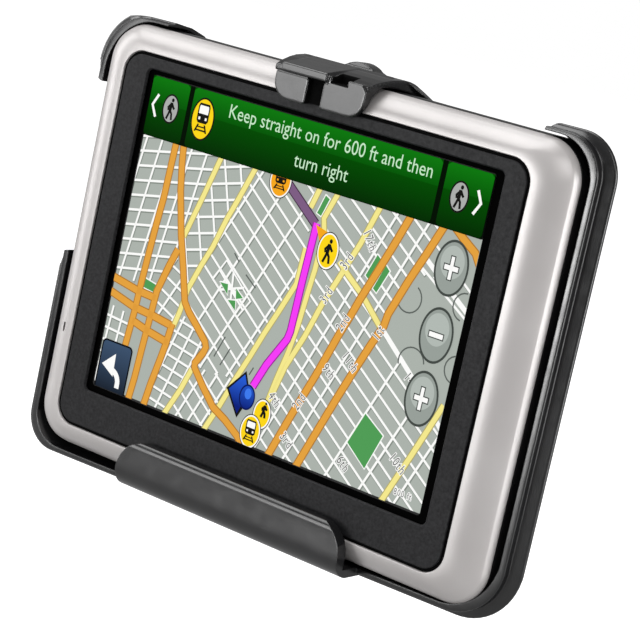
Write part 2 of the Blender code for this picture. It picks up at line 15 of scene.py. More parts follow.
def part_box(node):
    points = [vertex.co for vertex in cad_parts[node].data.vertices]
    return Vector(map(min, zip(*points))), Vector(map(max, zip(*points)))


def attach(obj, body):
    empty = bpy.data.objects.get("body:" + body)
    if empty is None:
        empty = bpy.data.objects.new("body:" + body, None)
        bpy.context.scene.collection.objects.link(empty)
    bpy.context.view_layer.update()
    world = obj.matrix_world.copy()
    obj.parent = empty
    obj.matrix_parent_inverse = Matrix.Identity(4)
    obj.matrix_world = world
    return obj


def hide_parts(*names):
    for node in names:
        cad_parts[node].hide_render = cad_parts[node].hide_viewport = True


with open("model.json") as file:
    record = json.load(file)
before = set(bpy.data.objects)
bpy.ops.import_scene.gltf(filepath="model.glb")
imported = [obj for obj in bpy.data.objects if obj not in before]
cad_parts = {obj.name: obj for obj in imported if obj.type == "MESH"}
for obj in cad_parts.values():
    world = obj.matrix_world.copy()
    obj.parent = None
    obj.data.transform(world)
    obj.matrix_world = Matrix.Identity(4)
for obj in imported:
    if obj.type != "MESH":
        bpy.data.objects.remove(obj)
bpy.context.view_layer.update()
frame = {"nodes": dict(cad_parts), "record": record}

MM = 0.001
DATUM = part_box("mask_frame")[0].y                 # depth zero in the row frame
PLACE = Matrix.Translation((0, DATUM, 0)) @ Matrix.Scale(MM, 4)

# ---- sizes, in millimetres -------------------------------------------------------------
BODY = (47.8, 37.0, 6.8)                          # half width, half height, corner radius
CASING = (48.1, 37.0, 7.4)
MASK, MASK_ACROSS = (41.55, 32.8, 3.8), -0.33
BAND_TURN, BAND_RADIUS, BAND_EDGE = 47, 7.52, 0.57 # roll of the silver band, slant of its edge
EDGE_BACK, SEAM = 3.7, 4.0
WINDOW, WINDOW_UP = (36.6, 28.1, 1.0), 2.2
PICTURE_LEFT, PICTURE_RIGHT, PICTURE_LOW, PICTURE_HIGH = -35.5, 34.8, -24.7, 29.4
PICTURE_DEPTH, LAYER = 0.86, 0.012                # first layer of the picture, step between layers
HEADER_LOW = 19.3
CURVE_START, BODY_BACK, WALL = 7.0, 15.4, 1.5
BACK = (37.3, 28.3, 5.0)                          # flat part of the casing's back
CLEAR = 0.4                                       # room between the navigator and the lip or latch
RIM_FRONT, LEDGE = 3.4, 4.85                      # front of the rim, step down to the flange
MOUTH, SEAT = (49.25, 37.65, 6.9), (48.8, 37.5, 7.2)
RIM, RIM_ROUND = (50.4, 38.4, 6.6), 0.22
FLANGE, FLANGE_ROUND, FLANGE_UP = (52.5, 39.2, 7.2), 0.35, -0.1
CUP_CORNERS = (1.0, 1.45, 0.88, 1.4)              # the four corners are not equally round
PLATE_BACK, PAD_BACK = 18.2, 19.7
PAD, PAD_HOLES = (14.0, 30.5, 6.0), 24.28
LIP_X, LIP_TOP, LIP_BOTTOM = 24.0, -30.2, -38.9
LEFT_GAP, TOP_GAP, PLATE_TOP = (-4.5, 25.5), (-37.0, 39.5), 33.2
LATCH_IN, LATCH_OUT, LATCH_ROOT = 8.9, 10.6, 52   # radii of the latch's arm, and its turn to the root
LATCH_FRONT_X, LATCH_BACK_X = 9.3, 10.5
EAR_BOTTOM, EAR_FRONT = 31.8, -1.6
EARS = [(-8.7, -2.0), (1.1, 9.5)]
SPEAKER_AT, SPEAKER_R = (30.2, -9.0), 9.5
USB_AT, CARD_AT, KEY_AT, KEY_DEPTH = 8.0, 10.0, 22.0, 9.2
PORT_DEPTH = 8.8                                  # front side of the sockets on the board
MIC_AT = (-44.1, -16.9)


# ---- nodes of a material ---------------------------------------------------------------
class Finish:
    """A node material, with short calls for the nodes that every finish here uses."""

    def __init__(self, name):
        self.material = bpy.data.materials.new(name)
        self.material.use_nodes = True
        self.tree = self.material.node_tree
        self.shader = self.tree.nodes["Principled BSDF"]
        self.place = self.add("ShaderNodeTexCoord").outputs["Object"]

    def add(self, kind, **settings):
        node = self.tree.nodes.new(kind)
        for key, value in settings.items():
            setattr(node, key, value)
        return node

    def link(self, output, socket):
        self.tree.links.new(output, socket)

    def set(self, **values):
        for key, value in values.items():
            self.shader.inputs[key.replace("_", " ")].default_value = value

    def noise(self, per_mm, detail=2.0, stretch=(1, 1, 1)):
        """Noise with about per_mm features in a millimetre."""
        scale = self.add("ShaderNodeMapping")
        scale.inputs["Scale"].default_value = stretch
        self.link(self.place, scale.inputs["Vector"])
        node = self.add("ShaderNodeTexNoise")
        node.inputs["Scale"].default_value = per_mm / MM
        node.inputs["Detail"].default_value = detail
        self.link(scale.outputs["Vector"], node.inputs["Vector"])
        return node.outputs["Fac"]

    def spread(self, source, low, high, start=0.3, end=0.7):
        node = self.add("ShaderNodeMapRange")
        for key, value in (("From Min", start), ("From Max", end), ("To Min", low), ("To Max", high)):
            node.inputs[key].default_value = value
        self.link(source, node.inputs["Value"])
        return node.outputs["Result"]

    def shade(self, source, low, high, start=0.3, end=0.7):
        """Colour that runs from low to high as source runs from start to end."""
        node = self.add("ShaderNodeMix", data_type="RGBA")
        node.inputs[6].default_value = (*low, 1)
        node.inputs[7].default_value = (*high, 1)
        self.link(self.spread(source, 0, 1, start, end), node.inputs["Factor"])
        self.link(node.outputs[2], self.shader.inputs["Base Color"])
        return node.outputs[2]

    def surface(self, grain, depth, edge):
        """Bump from a grain, over edges that are rounded by edge millimetres."""
        bump = self.add("ShaderNodeBump")
        bump.inputs["Distance"].default_value = depth * MM
        bump.inputs["Strength"].default_value = 1.0
        self.link(grain, bump.inputs["Height"])
        if edge:
            bevel = self.add("ShaderNodeBevel", samples=6)
            bevel.inputs["Radius"].default_value = edge * MM
            self.link(bevel.outputs["Normal"], bump.inputs["Normal"])
        self.link(bump.outputs["Normal"], self.shader.inputs["Normal"])


def satin_silver():
    """Silver lacquer with fine metal flake on a moulded bezel."""
    made = Finish("satin_silver_lacquer")
    made.shade(made.noise(0.05, 3), (0.30, 0.285, 0.28), (0.345, 0.33, 0.325))
    made.link(made.spread(made.noise(6.0), 0.30, 0.42), made.shader.inputs["Roughness"])
    made.set(Metallic=0.25)
    made.surface(made.noise(9.0, 1), 0.0016, 0.12)
    return made.material


def grained(name, dark, light, roughness, per_mm=5.0, depth=0.006, edge=0.22, specular=0.5):
    """Spark-eroded plastic: fine even grain, with a little wear in the gloss."""
    made = Finish(name)
    made.shade(made.noise(0.08, 4), dark, light)
    made.link(made.spread(made.noise(0.35, 5), roughness - 0.04, roughness + 0.05),
              made.shader.inputs["Roughness"])
    made.set(Specular_IOR_Level=specular)
    made.surface(made.noise(per_mm, 2), depth, edge)
    return made.material


def mask_paint():
    """Fine charcoal texture of the screen mask."""
    made = Finish("charcoal_mask")
    made.shade(made.noise(2.2, 4), (0.004, 0.004, 0.0045), (0.012, 0.012, 0.013))
    made.link(made.spread(made.noise(1.5, 3), 0.42, 0.55), made.shader.inputs["Roughness"])
    made.set(Specular_IOR_Level=0.1)
    made.surface(made.noise(4.0, 3), 0.012, 0.1)
    return made.material


def plain(name, colour, roughness, metallic=0.0, per_mm=3.0, depth=0.004, edge=0.1):
    """Finish of a plain part, with a slight mottle."""
    made = Finish(name)
    darker = tuple(0.82 * part for part in colour)
    made.shade(made.noise(0.4, 3), darker, colour)
    made.link(made.spread(made.noise(1.2, 3), roughness - 0.05, roughness + 0.07),
              made.shader.inputs["Roughness"])
    made.set(Metallic=metallic)
    made.surface(made.noise(per_mm, 2), depth, edge)
    return made.material


def painted_shade_black(name):
    """Dead black with next to no shine, painted shade for a deep recess or gap."""
    material = plain(name, (0.001, 0.001, 0.001), 0.9)
    material.node_tree.nodes["Principled BSDF"].inputs["Specular IOR Level"].default_value = 0.05
    return material


GLOW = 0.93                                       # how much of the picture's light is its own


def lit(name, low, high=None, start=None, end=None, strength=GLOW):
    """A colour of the lit picture, plain or running from low to high up the screen."""
    made = Finish(name)
    made.set(Roughness=0.85, Specular_IOR_Level=0.02, Emission_Strength=strength)
    if high is None:
        made.set(Base_Color=(*[0.06 * part for part in low], 1), Emission_Color=(*low, 1))
        return made.material
    split = made.add("ShaderNodeSeparateXYZ")
    made.link(made.place, split.inputs["Vector"])
    colour = made.shade(split.outputs["Z"], low, high, start * MM, end * MM)
    made.link(colour, made.shader.inputs["Emission Color"])
    made.tree.links.remove(made.shader.inputs["Base Color"].links[0])
    made.set(Base_Color=(*[0.06 * part for part in low], 1))
    return made.material


# ---- shapes ----------------------------------------------------------------------------
CORNER_STEPS = 14


def outline(half_x, half_z, size, up=0.0, across=0.0, corners=(1, 1, 1, 1)):
    """A rectangle with corners of radius size, each times its own share."""
    points = []
    for corner, (sign_x, sign_z) in enumerate([(1, 1), (-1, 1), (-1, -1), (1, -1)]):
        radius = size * corners[corner]
        for step in range(CORNER_STEPS + 1):
            angle = math.radians(90 * (corner + step / CORNER_STEPS))
            points.append((across + sign_x * (half_x - radius) + radius * math.cos(angle),
                           up + sign_z * (half_z - radius) + radius * math.sin(angle)))
    return points


def arc(centre, radius, start, end, steps):
    points = []
    for step in range(steps + 1):
        angle = math.radians(start + (end - start) * step / steps)
        points.append((centre[0] + radius * math.cos(angle), centre[1] + radius * math.sin(angle)))
    return points


def circle(centre, radius, sides=32):
    return arc(centre, radius, 0, 360 * (sides - 1) / sides, sides - 1)


def loft(body, sections, ring=False):
    """Skin over outlines at their depths, closed by caps or, as a ring, back to the first."""
    loops = [[body.verts.new((x, depth, z)) for x, z in points] for points, depth in sections]
    following = loops[1:] + loops[:1] if ring else loops[1:]
    for near, far in zip(loops, following):
        for i in range(len(near)):
            j = (i + 1) % len(near)
            body.faces.new((near[i], near[j], far[j], far[i]))
    if not ring:
        body.faces.new(loops[0])
        body.faces.new(loops[-1])


def add_box(body, low, high):
    corners = [(high[0], high[2]), (low[0], high[2]), (low[0], low[2]), (high[0], low[2])]
    loft(body, [(corners, low[1]), (corners, high[1])])


def add_turned(body, centre, profile, sides=40):
    """A turned body from its radii and depths."""
    loft(body, [(circle(centre, radius, sides), depth) for radius, depth in profile])


def add_prism(body, profile, left, right):
    """A profile in depth and height, run from left to right."""
    near = [body.verts.new((left, y, z)) for y, z in profile]
    far = [body.verts.new((right, y, z)) for y, z in profile]
    for i in range(len(near)):
        j = (i + 1) % len(near)
        body.faces.new((near[i], near[j], far[j], far[i]))
    body.faces.new(near)
    body.faces.new(far)


def smooth(mesh, angle=32):
    mesh.shade_smooth()
    mesh.set_sharp_from_angle(angle=math.radians(angle))


def piece(name, body, material, recalculate=True):
    """Turns a bmesh in millimetres into an object in the row frame."""
    if recalculate:
        bmesh.ops.recalc_face_normals(body, faces=body.faces)
    body.transform(PLACE)
    mesh = bpy.data.meshes.new(name)
    body.to_mesh(mesh)
    body.free()
    made = bpy.data.objects.new(name, mesh)
    bpy.context.scene.collection.objects.link(made)
    mesh.materials.append(material)
    smooth(mesh)
    return made


def bake(made, angle=32):
    """Applies an object's modifiers, so that its mesh is plain."""
    bpy.context.view_layer.update()
    mesh = bpy.data.meshes.new_from_object(made.evaluated_get(bpy.context.evaluated_depsgraph_get()))
    made.modifiers.clear()
    made.data = mesh
    smooth(mesh, angle)


def combine(made, tools, operation):
    """Boolean of a piece with a body of tools, which is then thrown away."""
    tool = piece(made.name + "_tool", tools, made.data.materials[0])
    modifier = made.modifiers.new("tool", "BOOLEAN")
    modifier.operation = operation
    modifier.solver = "EXACT"
    modifier.object = tool
    bake(made)
    bpy.data.objects.remove(tool, do_unlink=True)


def install(made, body_name, slot, *nodes):
    """Hands a finished piece to the frame."""
    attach(made, body_name)
    if nodes:
        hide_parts(*nodes)


# ---- front of the navigator --------------------------------------------------------------
def band_fall(share):
    """How far back the silver band has rolled at this share of its width."""
    return BAND_RADIUS * (1 - math.cos(math.asin(share * math.sin(math.radians(BAND_TURN)))))


def front_bezel():
    """The silver frame: inner edge, rolled band, slanted edge, hollow back and microphone slot."""
    inner = [size + 0.15 for size in MASK]
    aside = (0.0, MASK_ACROSS)
    sections = [(outline(*[size - 0.12 for size in inner], *aside), 0.5),
                (outline(*[size - 0.1 for size in inner], *aside), 0.22),
                (outline(*[size - 0.03 for size in inner], *aside), 0.06)]
    steps = 18
    for step in range(steps + 1):
        share = step / steps
        size = [a + (b - BAND_EDGE - 0.06 - a) * share for a, b in zip(inner, BODY)]
        sections.append((outline(*size, 0.0, MASK_ACROSS * (1 - share)), band_fall(share)))
    sections.append((outline(*[size - BAND_EDGE + 0.02 for size in BODY]), band_fall(1) + 0.1))
    sections.append((outline(*[size - 0.04 for size in BODY]), EDGE_BACK - 0.1))
    low = [size - 0.15 for size in BODY]
    sections.append((outline(*BODY), EDGE_BACK))
    sections.append((outline(*low), SEAM))
    sections.append((outline(*[size - 1.6 for size in BODY]), SEAM))
    sections.append((outline(44.4, 34.7, 5.4), 2.9))
    sections.append((outline(43.0, 33.6, 4.4), 2.0))
    sections.append((outline(*[size - 0.12 for size in inner], *aside), 2.0))
    body = bmesh.new()
    loft(body, sections, ring=True)
    made = piece("silver_bezel", body, satin_silver())
    slot = bmesh.new()
    half_x, half_z = 0.3, 0.85
    shape = arc((MIC_AT[0], MIC_AT[1] + half_z - half_x), half_x, 0, 180, 8)
    shape += arc((MIC_AT[0], MIC_AT[1] - half_z + half_x), half_x, 180, 360, 8)
    loft(slot, [(shape, -1.0), (shape, 1.6)])
    combine(made, slot, "DIFFERENCE")
    install(made, "root", "satin_silver", "front_bezel")


def screen_mask():
    """The grey mask with the screen's window, and a dead-black ring in the groove round the mask as painted
    shade.
    """
    outer, window = [size - 0.5 for size in MASK], WINDOW
    aside = (0.0, MASK_ACROSS)
    sections = [(outline(*[size - 0.12 for size in outer], *aside), 0.0), (outline(*outer, *aside), 0.1),
                (outline(*outer, *aside), 0.5), (outline(*window, WINDOW_UP), 0.5),
                (outline(*window, WINDOW_UP), 0.22),
                (outline(*[size + 0.22 for size in window], WINDOW_UP), 0.0)]
    body = bmesh.new()
    loft(body, sections, ring=True)
    install(piece("screen_mask", body, mask_paint()), "root", "mask_grey", "mask_frame")
    # A dead-black ring fills the groove round the mask: painted shade, not a part of its own.
    groove = bmesh.new()
    wide = outline(*[size - 0.02 for size in MASK], *aside)
    narrow = outline(*[size - 0.6 for size in MASK], *aside)
    loft(groove, [(wide, 0.3), (wide, 0.55), (narrow, 0.55), (narrow, 0.3)], ring=True)
    install(piece("painted_shade_groove", groove, painted_shade_black("groove_painted_shade")), "root", "black_foam")


# ---- rear casing ---------------------------------------------------------------------------
def rounded_back(side, flat, start, end, steps=14):
    """Sections that roll from a wall's outline to a flat back's."""
    sections = []
    for step in range(1, steps + 1):
        turn = math.radians(90 * step / steps)
        size = [b + (a - b) * math.cos(turn) for a, b in zip(side, flat)]
        sections.append((outline(*size), start + (end - start) * math.sin(turn)))
    return sections


def rear_casing(material):
    """The casing, hollow, with its slots for sound, plug, card and key."""
    inner = [size - WALL - 0.2 for size in BODY]
    front = SEAM + 0.1
    sections = [(outline(*[size - 0.05 for size in BODY]), front),
                (outline(*[size - 0.2 for size in CASING]), front + 0.7),
                (outline(*CASING), front + 1.1), (outline(*CASING), CURVE_START)]
    sections += rounded_back(CASING, BACK, CURVE_START, BODY_BACK)
    inside = [(outline(*inner), front), (outline(*inner), CURVE_START)]
    flat = (BACK[0] - 0.2, BACK[1] - 0.2, BACK[2] - 0.5)
    inside += rounded_back(inner, flat, CURVE_START, BODY_BACK - WALL)
    body = bmesh.new()
    loft(body, sections[::-1] + inside)
    made = piece("back_casing", body, material)
    holes = bmesh.new()
    for step in range(-3, 4):
        height = SPEAKER_AT[1] + 2.2 * step
        half = math.sqrt((SPEAKER_R - 2.0) ** 2 - (2.2 * step) ** 2) - 0.5
        shape = arc((SPEAKER_AT[0] + half, height), 0.5, -90, 90, 6)
        shape += arc((SPEAKER_AT[0] - half, height), 0.5, 90, 270, 6)
        loft(holes, [(shape, BODY_BACK - WALL - 0.5), (shape, BODY_BACK + 1)])
    add_box(holes, (USB_AT - 4.6, PORT_DEPTH - 0.3, -39.0), (USB_AT + 4.6, 13.1, -31.5))
    add_box(holes, (-50.0, PORT_DEPTH - 0.1, CARD_AT - 6.3), (-44.5, PORT_DEPTH + 1.5, CARD_AT + 6.3))
    add_box(holes, (KEY_AT - 5.2, KEY_DEPTH - 1.4, 34.0), (KEY_AT + 5.2, KEY_DEPTH + 1.4, 39.0))
    combine(made, holes, "DIFFERENCE")
    install(made, "root", "black_plastic", "rear_casing")


# ---- cradle --------------------------------------------------------------------------------
def quarter(radius, turns):
    """Inset and depth along a rounded edge, at these turns in degrees."""
    return [(radius * (1 - math.sin(math.radians(turn))), radius * (1 - math.cos(math.radians(turn))))
            for turn in turns]


def cradle_cup():
    """The cup: rim, step, flange and a wall that slopes in to the plate."""
    def ring(size, inset=0.0, up=FLANGE_UP):
        return outline(*[part - inset for part in size], up, 0.0, CUP_CORNERS)

    inside = [(ring(MOUTH, -0.1, 0.0), RIM_FRONT), (ring(MOUTH, 0.0, 0.0), RIM_FRONT + 0.1),
              (outline(*SEAT), CURVE_START - 0.5), (outline(*SEAT), CURVE_START)]
    inside += rounded_back(SEAT, (BACK[0] + 0.3, BACK[1] + 0.3, BACK[2]), CURVE_START, BODY_BACK + 0.45)
    outside = [(ring(RIM, inset), RIM_FRONT + fall) for inset, fall in quarter(RIM_ROUND, (0, 30, 60, 90))]
    outside += [(ring(RIM), LEDGE - 0.1), (ring(RIM, -0.1), LEDGE)]
    edge = LEDGE + FLANGE_ROUND
    outside += [(ring(FLANGE, inset), edge + fall)
                for inset, fall in quarter(FLANGE_ROUND, (0, 22, 45, 67, 90))]
    fillet, bend = 0.8, 4.0
    slope = []
    for angle in range(10, 41, 10):
        inset = fillet * (1 - math.cos(math.radians(angle)))
        slope.append((inset, edge + FLANGE_ROUND + fillet * math.sin(math.radians(angle))))
    slope += [(3.0, 9.6), (6.0, 13.2)]
    for turn in range(40, -1, -5):
        inset = 12.2 - bend * math.sin(math.radians(turn))
        slope.append((inset, PLATE_BACK - bend * (1 - math.cos(math.radians(turn)))))
    for inset, depth in slope:
        fall = 0.4 * inset + 0.25 * max(0.0, inset - 6)
        outside.append((ring((FLANGE[0] - inset, FLANGE[1] - fall, FLANGE[2] - 0.2 * inset)), depth))
    body = bmesh.new()
    loft(body, outside[::-1] + inside)
    for vertex in body.verts:
        settle(vertex)
    return body


def settle(vertex):
    """Lowers the top of the left corner clip and leans the cup's bottom edge."""
    x, depth, z = vertex.co
    corner = min(1.0, max(0.0, (-x - 28) / 8)) * min(1.0, max(0.0, (z - 12) / 14))
    if depth < 12 and max(abs(x) - SEAT[0], abs(z) - SEAT[1]) > -6:
        fade = corner * min(1.0, (12 - depth) / 4)
        vertex.co.z -= 0.55 * fade * max(0.0, z - SEAT[1])
    if z < -30:
        lean = 0.01 if x > 0 else 0.024
        vertex.co.z += lean * x * min(1.0, max(0.0, (17 - depth) / 12))


def gap_tools():
    """What is cut out of the left wall, at the card slot, and out of the top, round the latch."""
    low, high = LEFT_GAP
    end_round = 3.3
    seat_x, seat_z = SEAT[0], SEAT[1]
    left = [(-43.0, low), (-seat_x, low)]
    left += arc((-seat_x, low - end_round), end_round, 90, 180, 12)
    left += [(-60.0, low - end_round), (-60.0, high + end_round)]
    left += arc((-seat_x, high + end_round), end_round, 180, 270, 12)
    left += [(-43.0, high)]
    start, end = TOP_GAP
    nose = 1.6
    top = [(end, PLATE_TOP), (end, seat_z)]
    top += arc((end + nose, seat_z), nose, 180, 90, 10)
    top += [(end + nose, 46.0), (start - nose, 46.0)]
    top += arc((start - nose, seat_z), nose, 90, 0, 10)
    top += [(start, PLATE_TOP)]
    tools = bmesh.new()
    loft(tools, [(left, -5.0), (left, 25.0)])
    loft(tools, [(top, -5.0), (top, 25.0)])
    return tools


def lip_body():
    """The lip in front of the navigator and the floor under it."""
    inner = -0.55
    profile = arc((-1.25, LIP_TOP - 0.7), 0.7, 0, 90, 8)
    profile += arc((-1.35, LIP_TOP - 1.35), 1.35, 97, 188, 14)
    profile += [(-2.7, LIP_TOP - 2.2), (-2.74, LIP_TOP - 3.4), (-2.78, LIP_TOP - 4.4)]
    profile += arc((0.8, LIP_BOTTOM + 3.6), 3.6, 184, 270, 18)
    profile += [(8.6, LIP_BOTTOM + 0.2), (8.6, -BODY[1] - CLEAR - 0.5), (4.8, -BODY[1] - CLEAR)]
    profile += [(inner, -BODY[1] - CLEAR)]
    body = bmesh.new()
    add_prism(body, profile, -LIP_X, LIP_X)
    return body


def cradle(material):
    """The cup with its lip, mounting pad, nut recesses and openings."""
    made = piece("cradle_body", cradle_cup(), material)
    combine(made, gap_tools(), "DIFFERENCE")
    lip = piece("lip", lip_body(), material)
    crop = bmesh.new()
    corner = 5.4
    shape = arc((LIP_X - corner, LIP_TOP - corner), corner, 0, 90, 12)
    shape += arc((corner - LIP_X, LIP_TOP - corner), corner, 90, 180, 12)
    shape += [(-LIP_X, LIP_BOTTOM - 3), (LIP_X, LIP_BOTTOM - 3)]
    loft(crop, [(shape, -6.0), (shape, 12.0)])
    combine(lip, crop, "INTERSECT")
    joined = made.modifiers.new("lip", "BOOLEAN")
    joined.operation = "UNION"
    joined.solver = "EXACT"
    joined.object = lip
    bake(made)
    bpy.data.objects.remove(lip, do_unlink=True)
    pad = bmesh.new()
    edge = [size - 0.4 for size in PAD]
    loft(pad, [(outline(*PAD), 16.6), (outline(*PAD), PAD_BACK - 0.4), (outline(*edge), PAD_BACK)])
    combine(made, pad, "UNION")
    holes = bmesh.new()
    for side in (-1, 1):
        centre = (0.0, side * PAD_HOLES)
        loft(holes, [(circle(centre, 4.6, 6), 14.0), (circle(centre, 4.6, 6), 18.3)])
        bore = [(2.6, 18.0), (2.6, PAD_BACK - 0.3), (3.0, PAD_BACK + 0.1), (3.0, PAD_BACK + 1)]
        add_turned(holes, centre, bore)
    sound = [(SPEAKER_R, 14.5), (SPEAKER_R, PLATE_BACK - 0.5),
             (SPEAKER_R + 0.6, PLATE_BACK + 0.1), (SPEAKER_R + 0.6, 20.0)]
    add_turned(holes, SPEAKER_AT, sound, 64)
    add_box(holes, (USB_AT - 7.6, 6.2, -46.0), (USB_AT + 7.6, 14.6, -31.0))
    combine(made, holes, "DIFFERENCE")
    install(made, "root", "cradle_black", "cradle_shell")


# ---- latch ---------------------------------------------------------------------------------
def latch_bodies():
    """Overlapping bodies of the latch, fused later, and what is cut away from them."""
    edge_mid = BACK[1]
    outer, inner = [], []
    for step in range(17):
        angle = math.radians(LATCH_ROOT * step / 16)
        for radius, side in ((LATCH_OUT, outer), (LATCH_IN, inner)):
            side.append((CURVE_START + radius * math.sin(angle), edge_mid + radius * math.cos(angle)))
    front = [(-1.2, 36.0), (-1.2, 37.0), (0.5, 37.7), (2.5, 38.3), (4.5, 38.7)]
    roof = bmesh.new()
    add_prism(roof, front + outer + inner[::-1] + [(2.6, 37.4), (0.6, 36.0)], -1.0, 1.0)
    for vertex in roof.verts:
        share = min(1.0, max(0.0, (vertex.co.y - EAR_FRONT) / (CURVE_START - EAR_FRONT)))
        flare = max(0.0, vertex.co.y - 11.5) ** 2 * 0.22
        vertex.co.x *= LATCH_FRONT_X + (LATCH_BACK_X - LATCH_FRONT_X) * share + flare
    for (left, right), (outer_corner, inner_corner) in zip(EARS, ((3.0, 0.5), (0.5, 3.0))):
        shape = [(right, 36.4), (right - 0.9, 37.3), (left + 0.9, 37.3), (left, 36.4)]
        shape += arc((left + outer_corner, EAR_BOTTOM + outer_corner), outer_corner, 180, 270, 10)
        shape += arc((right - inner_corner, EAR_BOTTOM + inner_corner), inner_corner, 270, 360, 10)
        loft(roof, [(shape, EAR_FRONT), (shape, 3.0)])
    add_box(roof, (-2.4, -0.6, EAR_BOTTOM + 0.3), (1.5, 3.0, 36.8))
    slab = [(-2.3, 36.25), (-2.3, 37.4), (-2.1, 37.65), (6.2, 39.05), (7.4, 38.6), (3.0, 37.6), (0.4, 36.2)]
    add_prism(roof, slab, -7.3, 1.9)
    wing = [(-0.2, 37.4), (6.2, 39.05), (7.4, 38.6), (3.0, 37.6)]
    add_prism(roof, wing, -9.2, 8.6)
    hump = [(-4.6, 37.6), (-4.6, 38.3)] + arc((0.0, 34.6), 5.2, 125, 55, 8) + [(4.6, 38.3), (4.6, 37.6)]
    loft(roof, [(hump, 8.4), (hump, 11.2)])

    cut = bmesh.new()
    room = [(6.0, EAR_BOTTOM - 2), (-CLEAR, EAR_BOTTOM - 2), (-CLEAR, MASK[1] + 0.3)]
    for step in range(1, 13):
        share = math.sin(math.radians(90 * step / 13))
        room.append((band_fall(share) - CLEAR, MASK[1] + 4.2 * share + 0.15))
    room += [(2.6, BODY[1] + CLEAR - 0.02), (6.0, BODY[1] + CLEAR - 0.02)]
    add_prism(cut, room, -15.0, 15.0)
    details = bmesh.new()
    add_box(details, (2.5, -4.0, 36.35), (5.7, 0.9, 41.0))
    add_box(details, (-9.4, -2.8, 35.9), (1.9, -1.1, 36.2))
    for ridge in range(4):
        depth = -0.6 + 1.7 * ridge
        height = 37.93 + 0.167 * (depth + 0.6)
        add_box(details, (-8.0, depth, height), (1.2, depth + 0.35, height + 0.8))
    return roof, (cut, details)


def fuse(made):
    """Remeshes a piece, so that overlapping bodies become one skin."""
    remesh = made.modifiers.new("fuse", "REMESH")
    remesh.mode = "VOXEL"
    remesh.voxel_size = 0.12 * MM


def latch(material):
    """The latch in one skin, with dead black painted as shade in its recess, its pocket and under its slab.
    """
    roof, tools = latch_bodies()
    made = piece("latch_lever", roof, material)
    fuse(made)
    bake(made)
    for tool in tools:
        combine(made, tool, "DIFFERENCE")
    fuse(made)
    relax = made.modifiers.new("relax", "SMOOTH")
    relax.factor = 0.5
    relax.iterations = 5
    bake(made, 180)
    made.data.materials.append(painted_shade_black("recess_painted_shade"))
    # Faces between the ears, in the pocket and under the slab get the dead black: painted shade.
    for face in made.data.polygons:
        x, y, z = (part / MM for part in face.center)
        y -= DATUM / MM
        between = -2.1 < x < 1.2 and -1.2 < y < 1.0 and z < 36.3
        pocket = 2.3 < x < 5.9 and y < 1.2 and z > 36.2 and (z < 36.5 or y > -1.5)
        under = x < 2.0 and -1.5 < y < 0.0 and 35.8 < z < 36.3
        face.material_index = int(between or pocket or under)
    install(made, "latch", "cradle_black", "latch_tongue")


# ---- inner pieces ------------------------------------------------------------------------
def inner_finishes():
    """Every CAD node that stays gets the finish of what it is made of."""
    finishes = {
        "black_plastic": plain("key_black", (0.02, 0.02, 0.021), 0.4),
        "black_foam": plain("closed_cell_foam", (0.002, 0.002, 0.002), 0.9, per_mm=6.0, depth=0.03),
        "touch_glass": plain("touch_edge", (0.01, 0.01, 0.011), 0.3),
        "lcd_grey": plain("polariser", (0.1, 0.11, 0.12), 0.25),
        "acrylic": plain("milky_acrylic", (0.85, 0.88, 0.9), 0.2),
        "tinned_steel": plain("tinned_sheet", (0.62, 0.62, 0.6), 0.32, 1.0),
        "amber_film": plain("amber_film", (0.48, 0.2, 0.03), 0.35),
        "board_green": plain("solder_mask", (0.015, 0.13, 0.04), 0.35),
        "chip_black": plain("moulded_epoxy", (0.02, 0.02, 0.022), 0.5),
        "patch_ceramic": plain("fired_ceramic", (0.6, 0.53, 0.4), 0.6),
        "battery_foil": plain("pouch_foil", (0.6, 0.61, 0.62), 0.33, 0.9),
        "screw_steel": plain("zinc_plate", (0.45, 0.45, 0.46), 0.3, 1.0),
        "ivory_nylon": plain("ivory_nylon", (0.78, 0.74, 0.62), 0.5),
        "red_wire": plain("red_insulation", (0.5, 0.02, 0.02), 0.45),
        "black_wire": plain("black_insulation", (0.015, 0.015, 0.015), 0.45),
        "boot_rubber": plain("boot_rubber", (0.025, 0.025, 0.025), 0.8),
    }
    slots = {part["node"]: part["material_slot"] for part in frame["record"]["subparts"]}
    for name, node in frame["nodes"].items():
        if slots[name] in finishes:
            node.data.materials.clear()
            node.data.materials.append(finishes[slots[name]])


# ---- picture on the screen -----------------------------------------------------------------
def tone(red, green, blue):
    """A display colour, 0 to 255, as a shader takes it."""
    return tuple((part / 255 / 12.92) if part < 11 else ((part / 255 + 0.055) / 1.055) ** 2.4
                 for part in (red, green, blue))


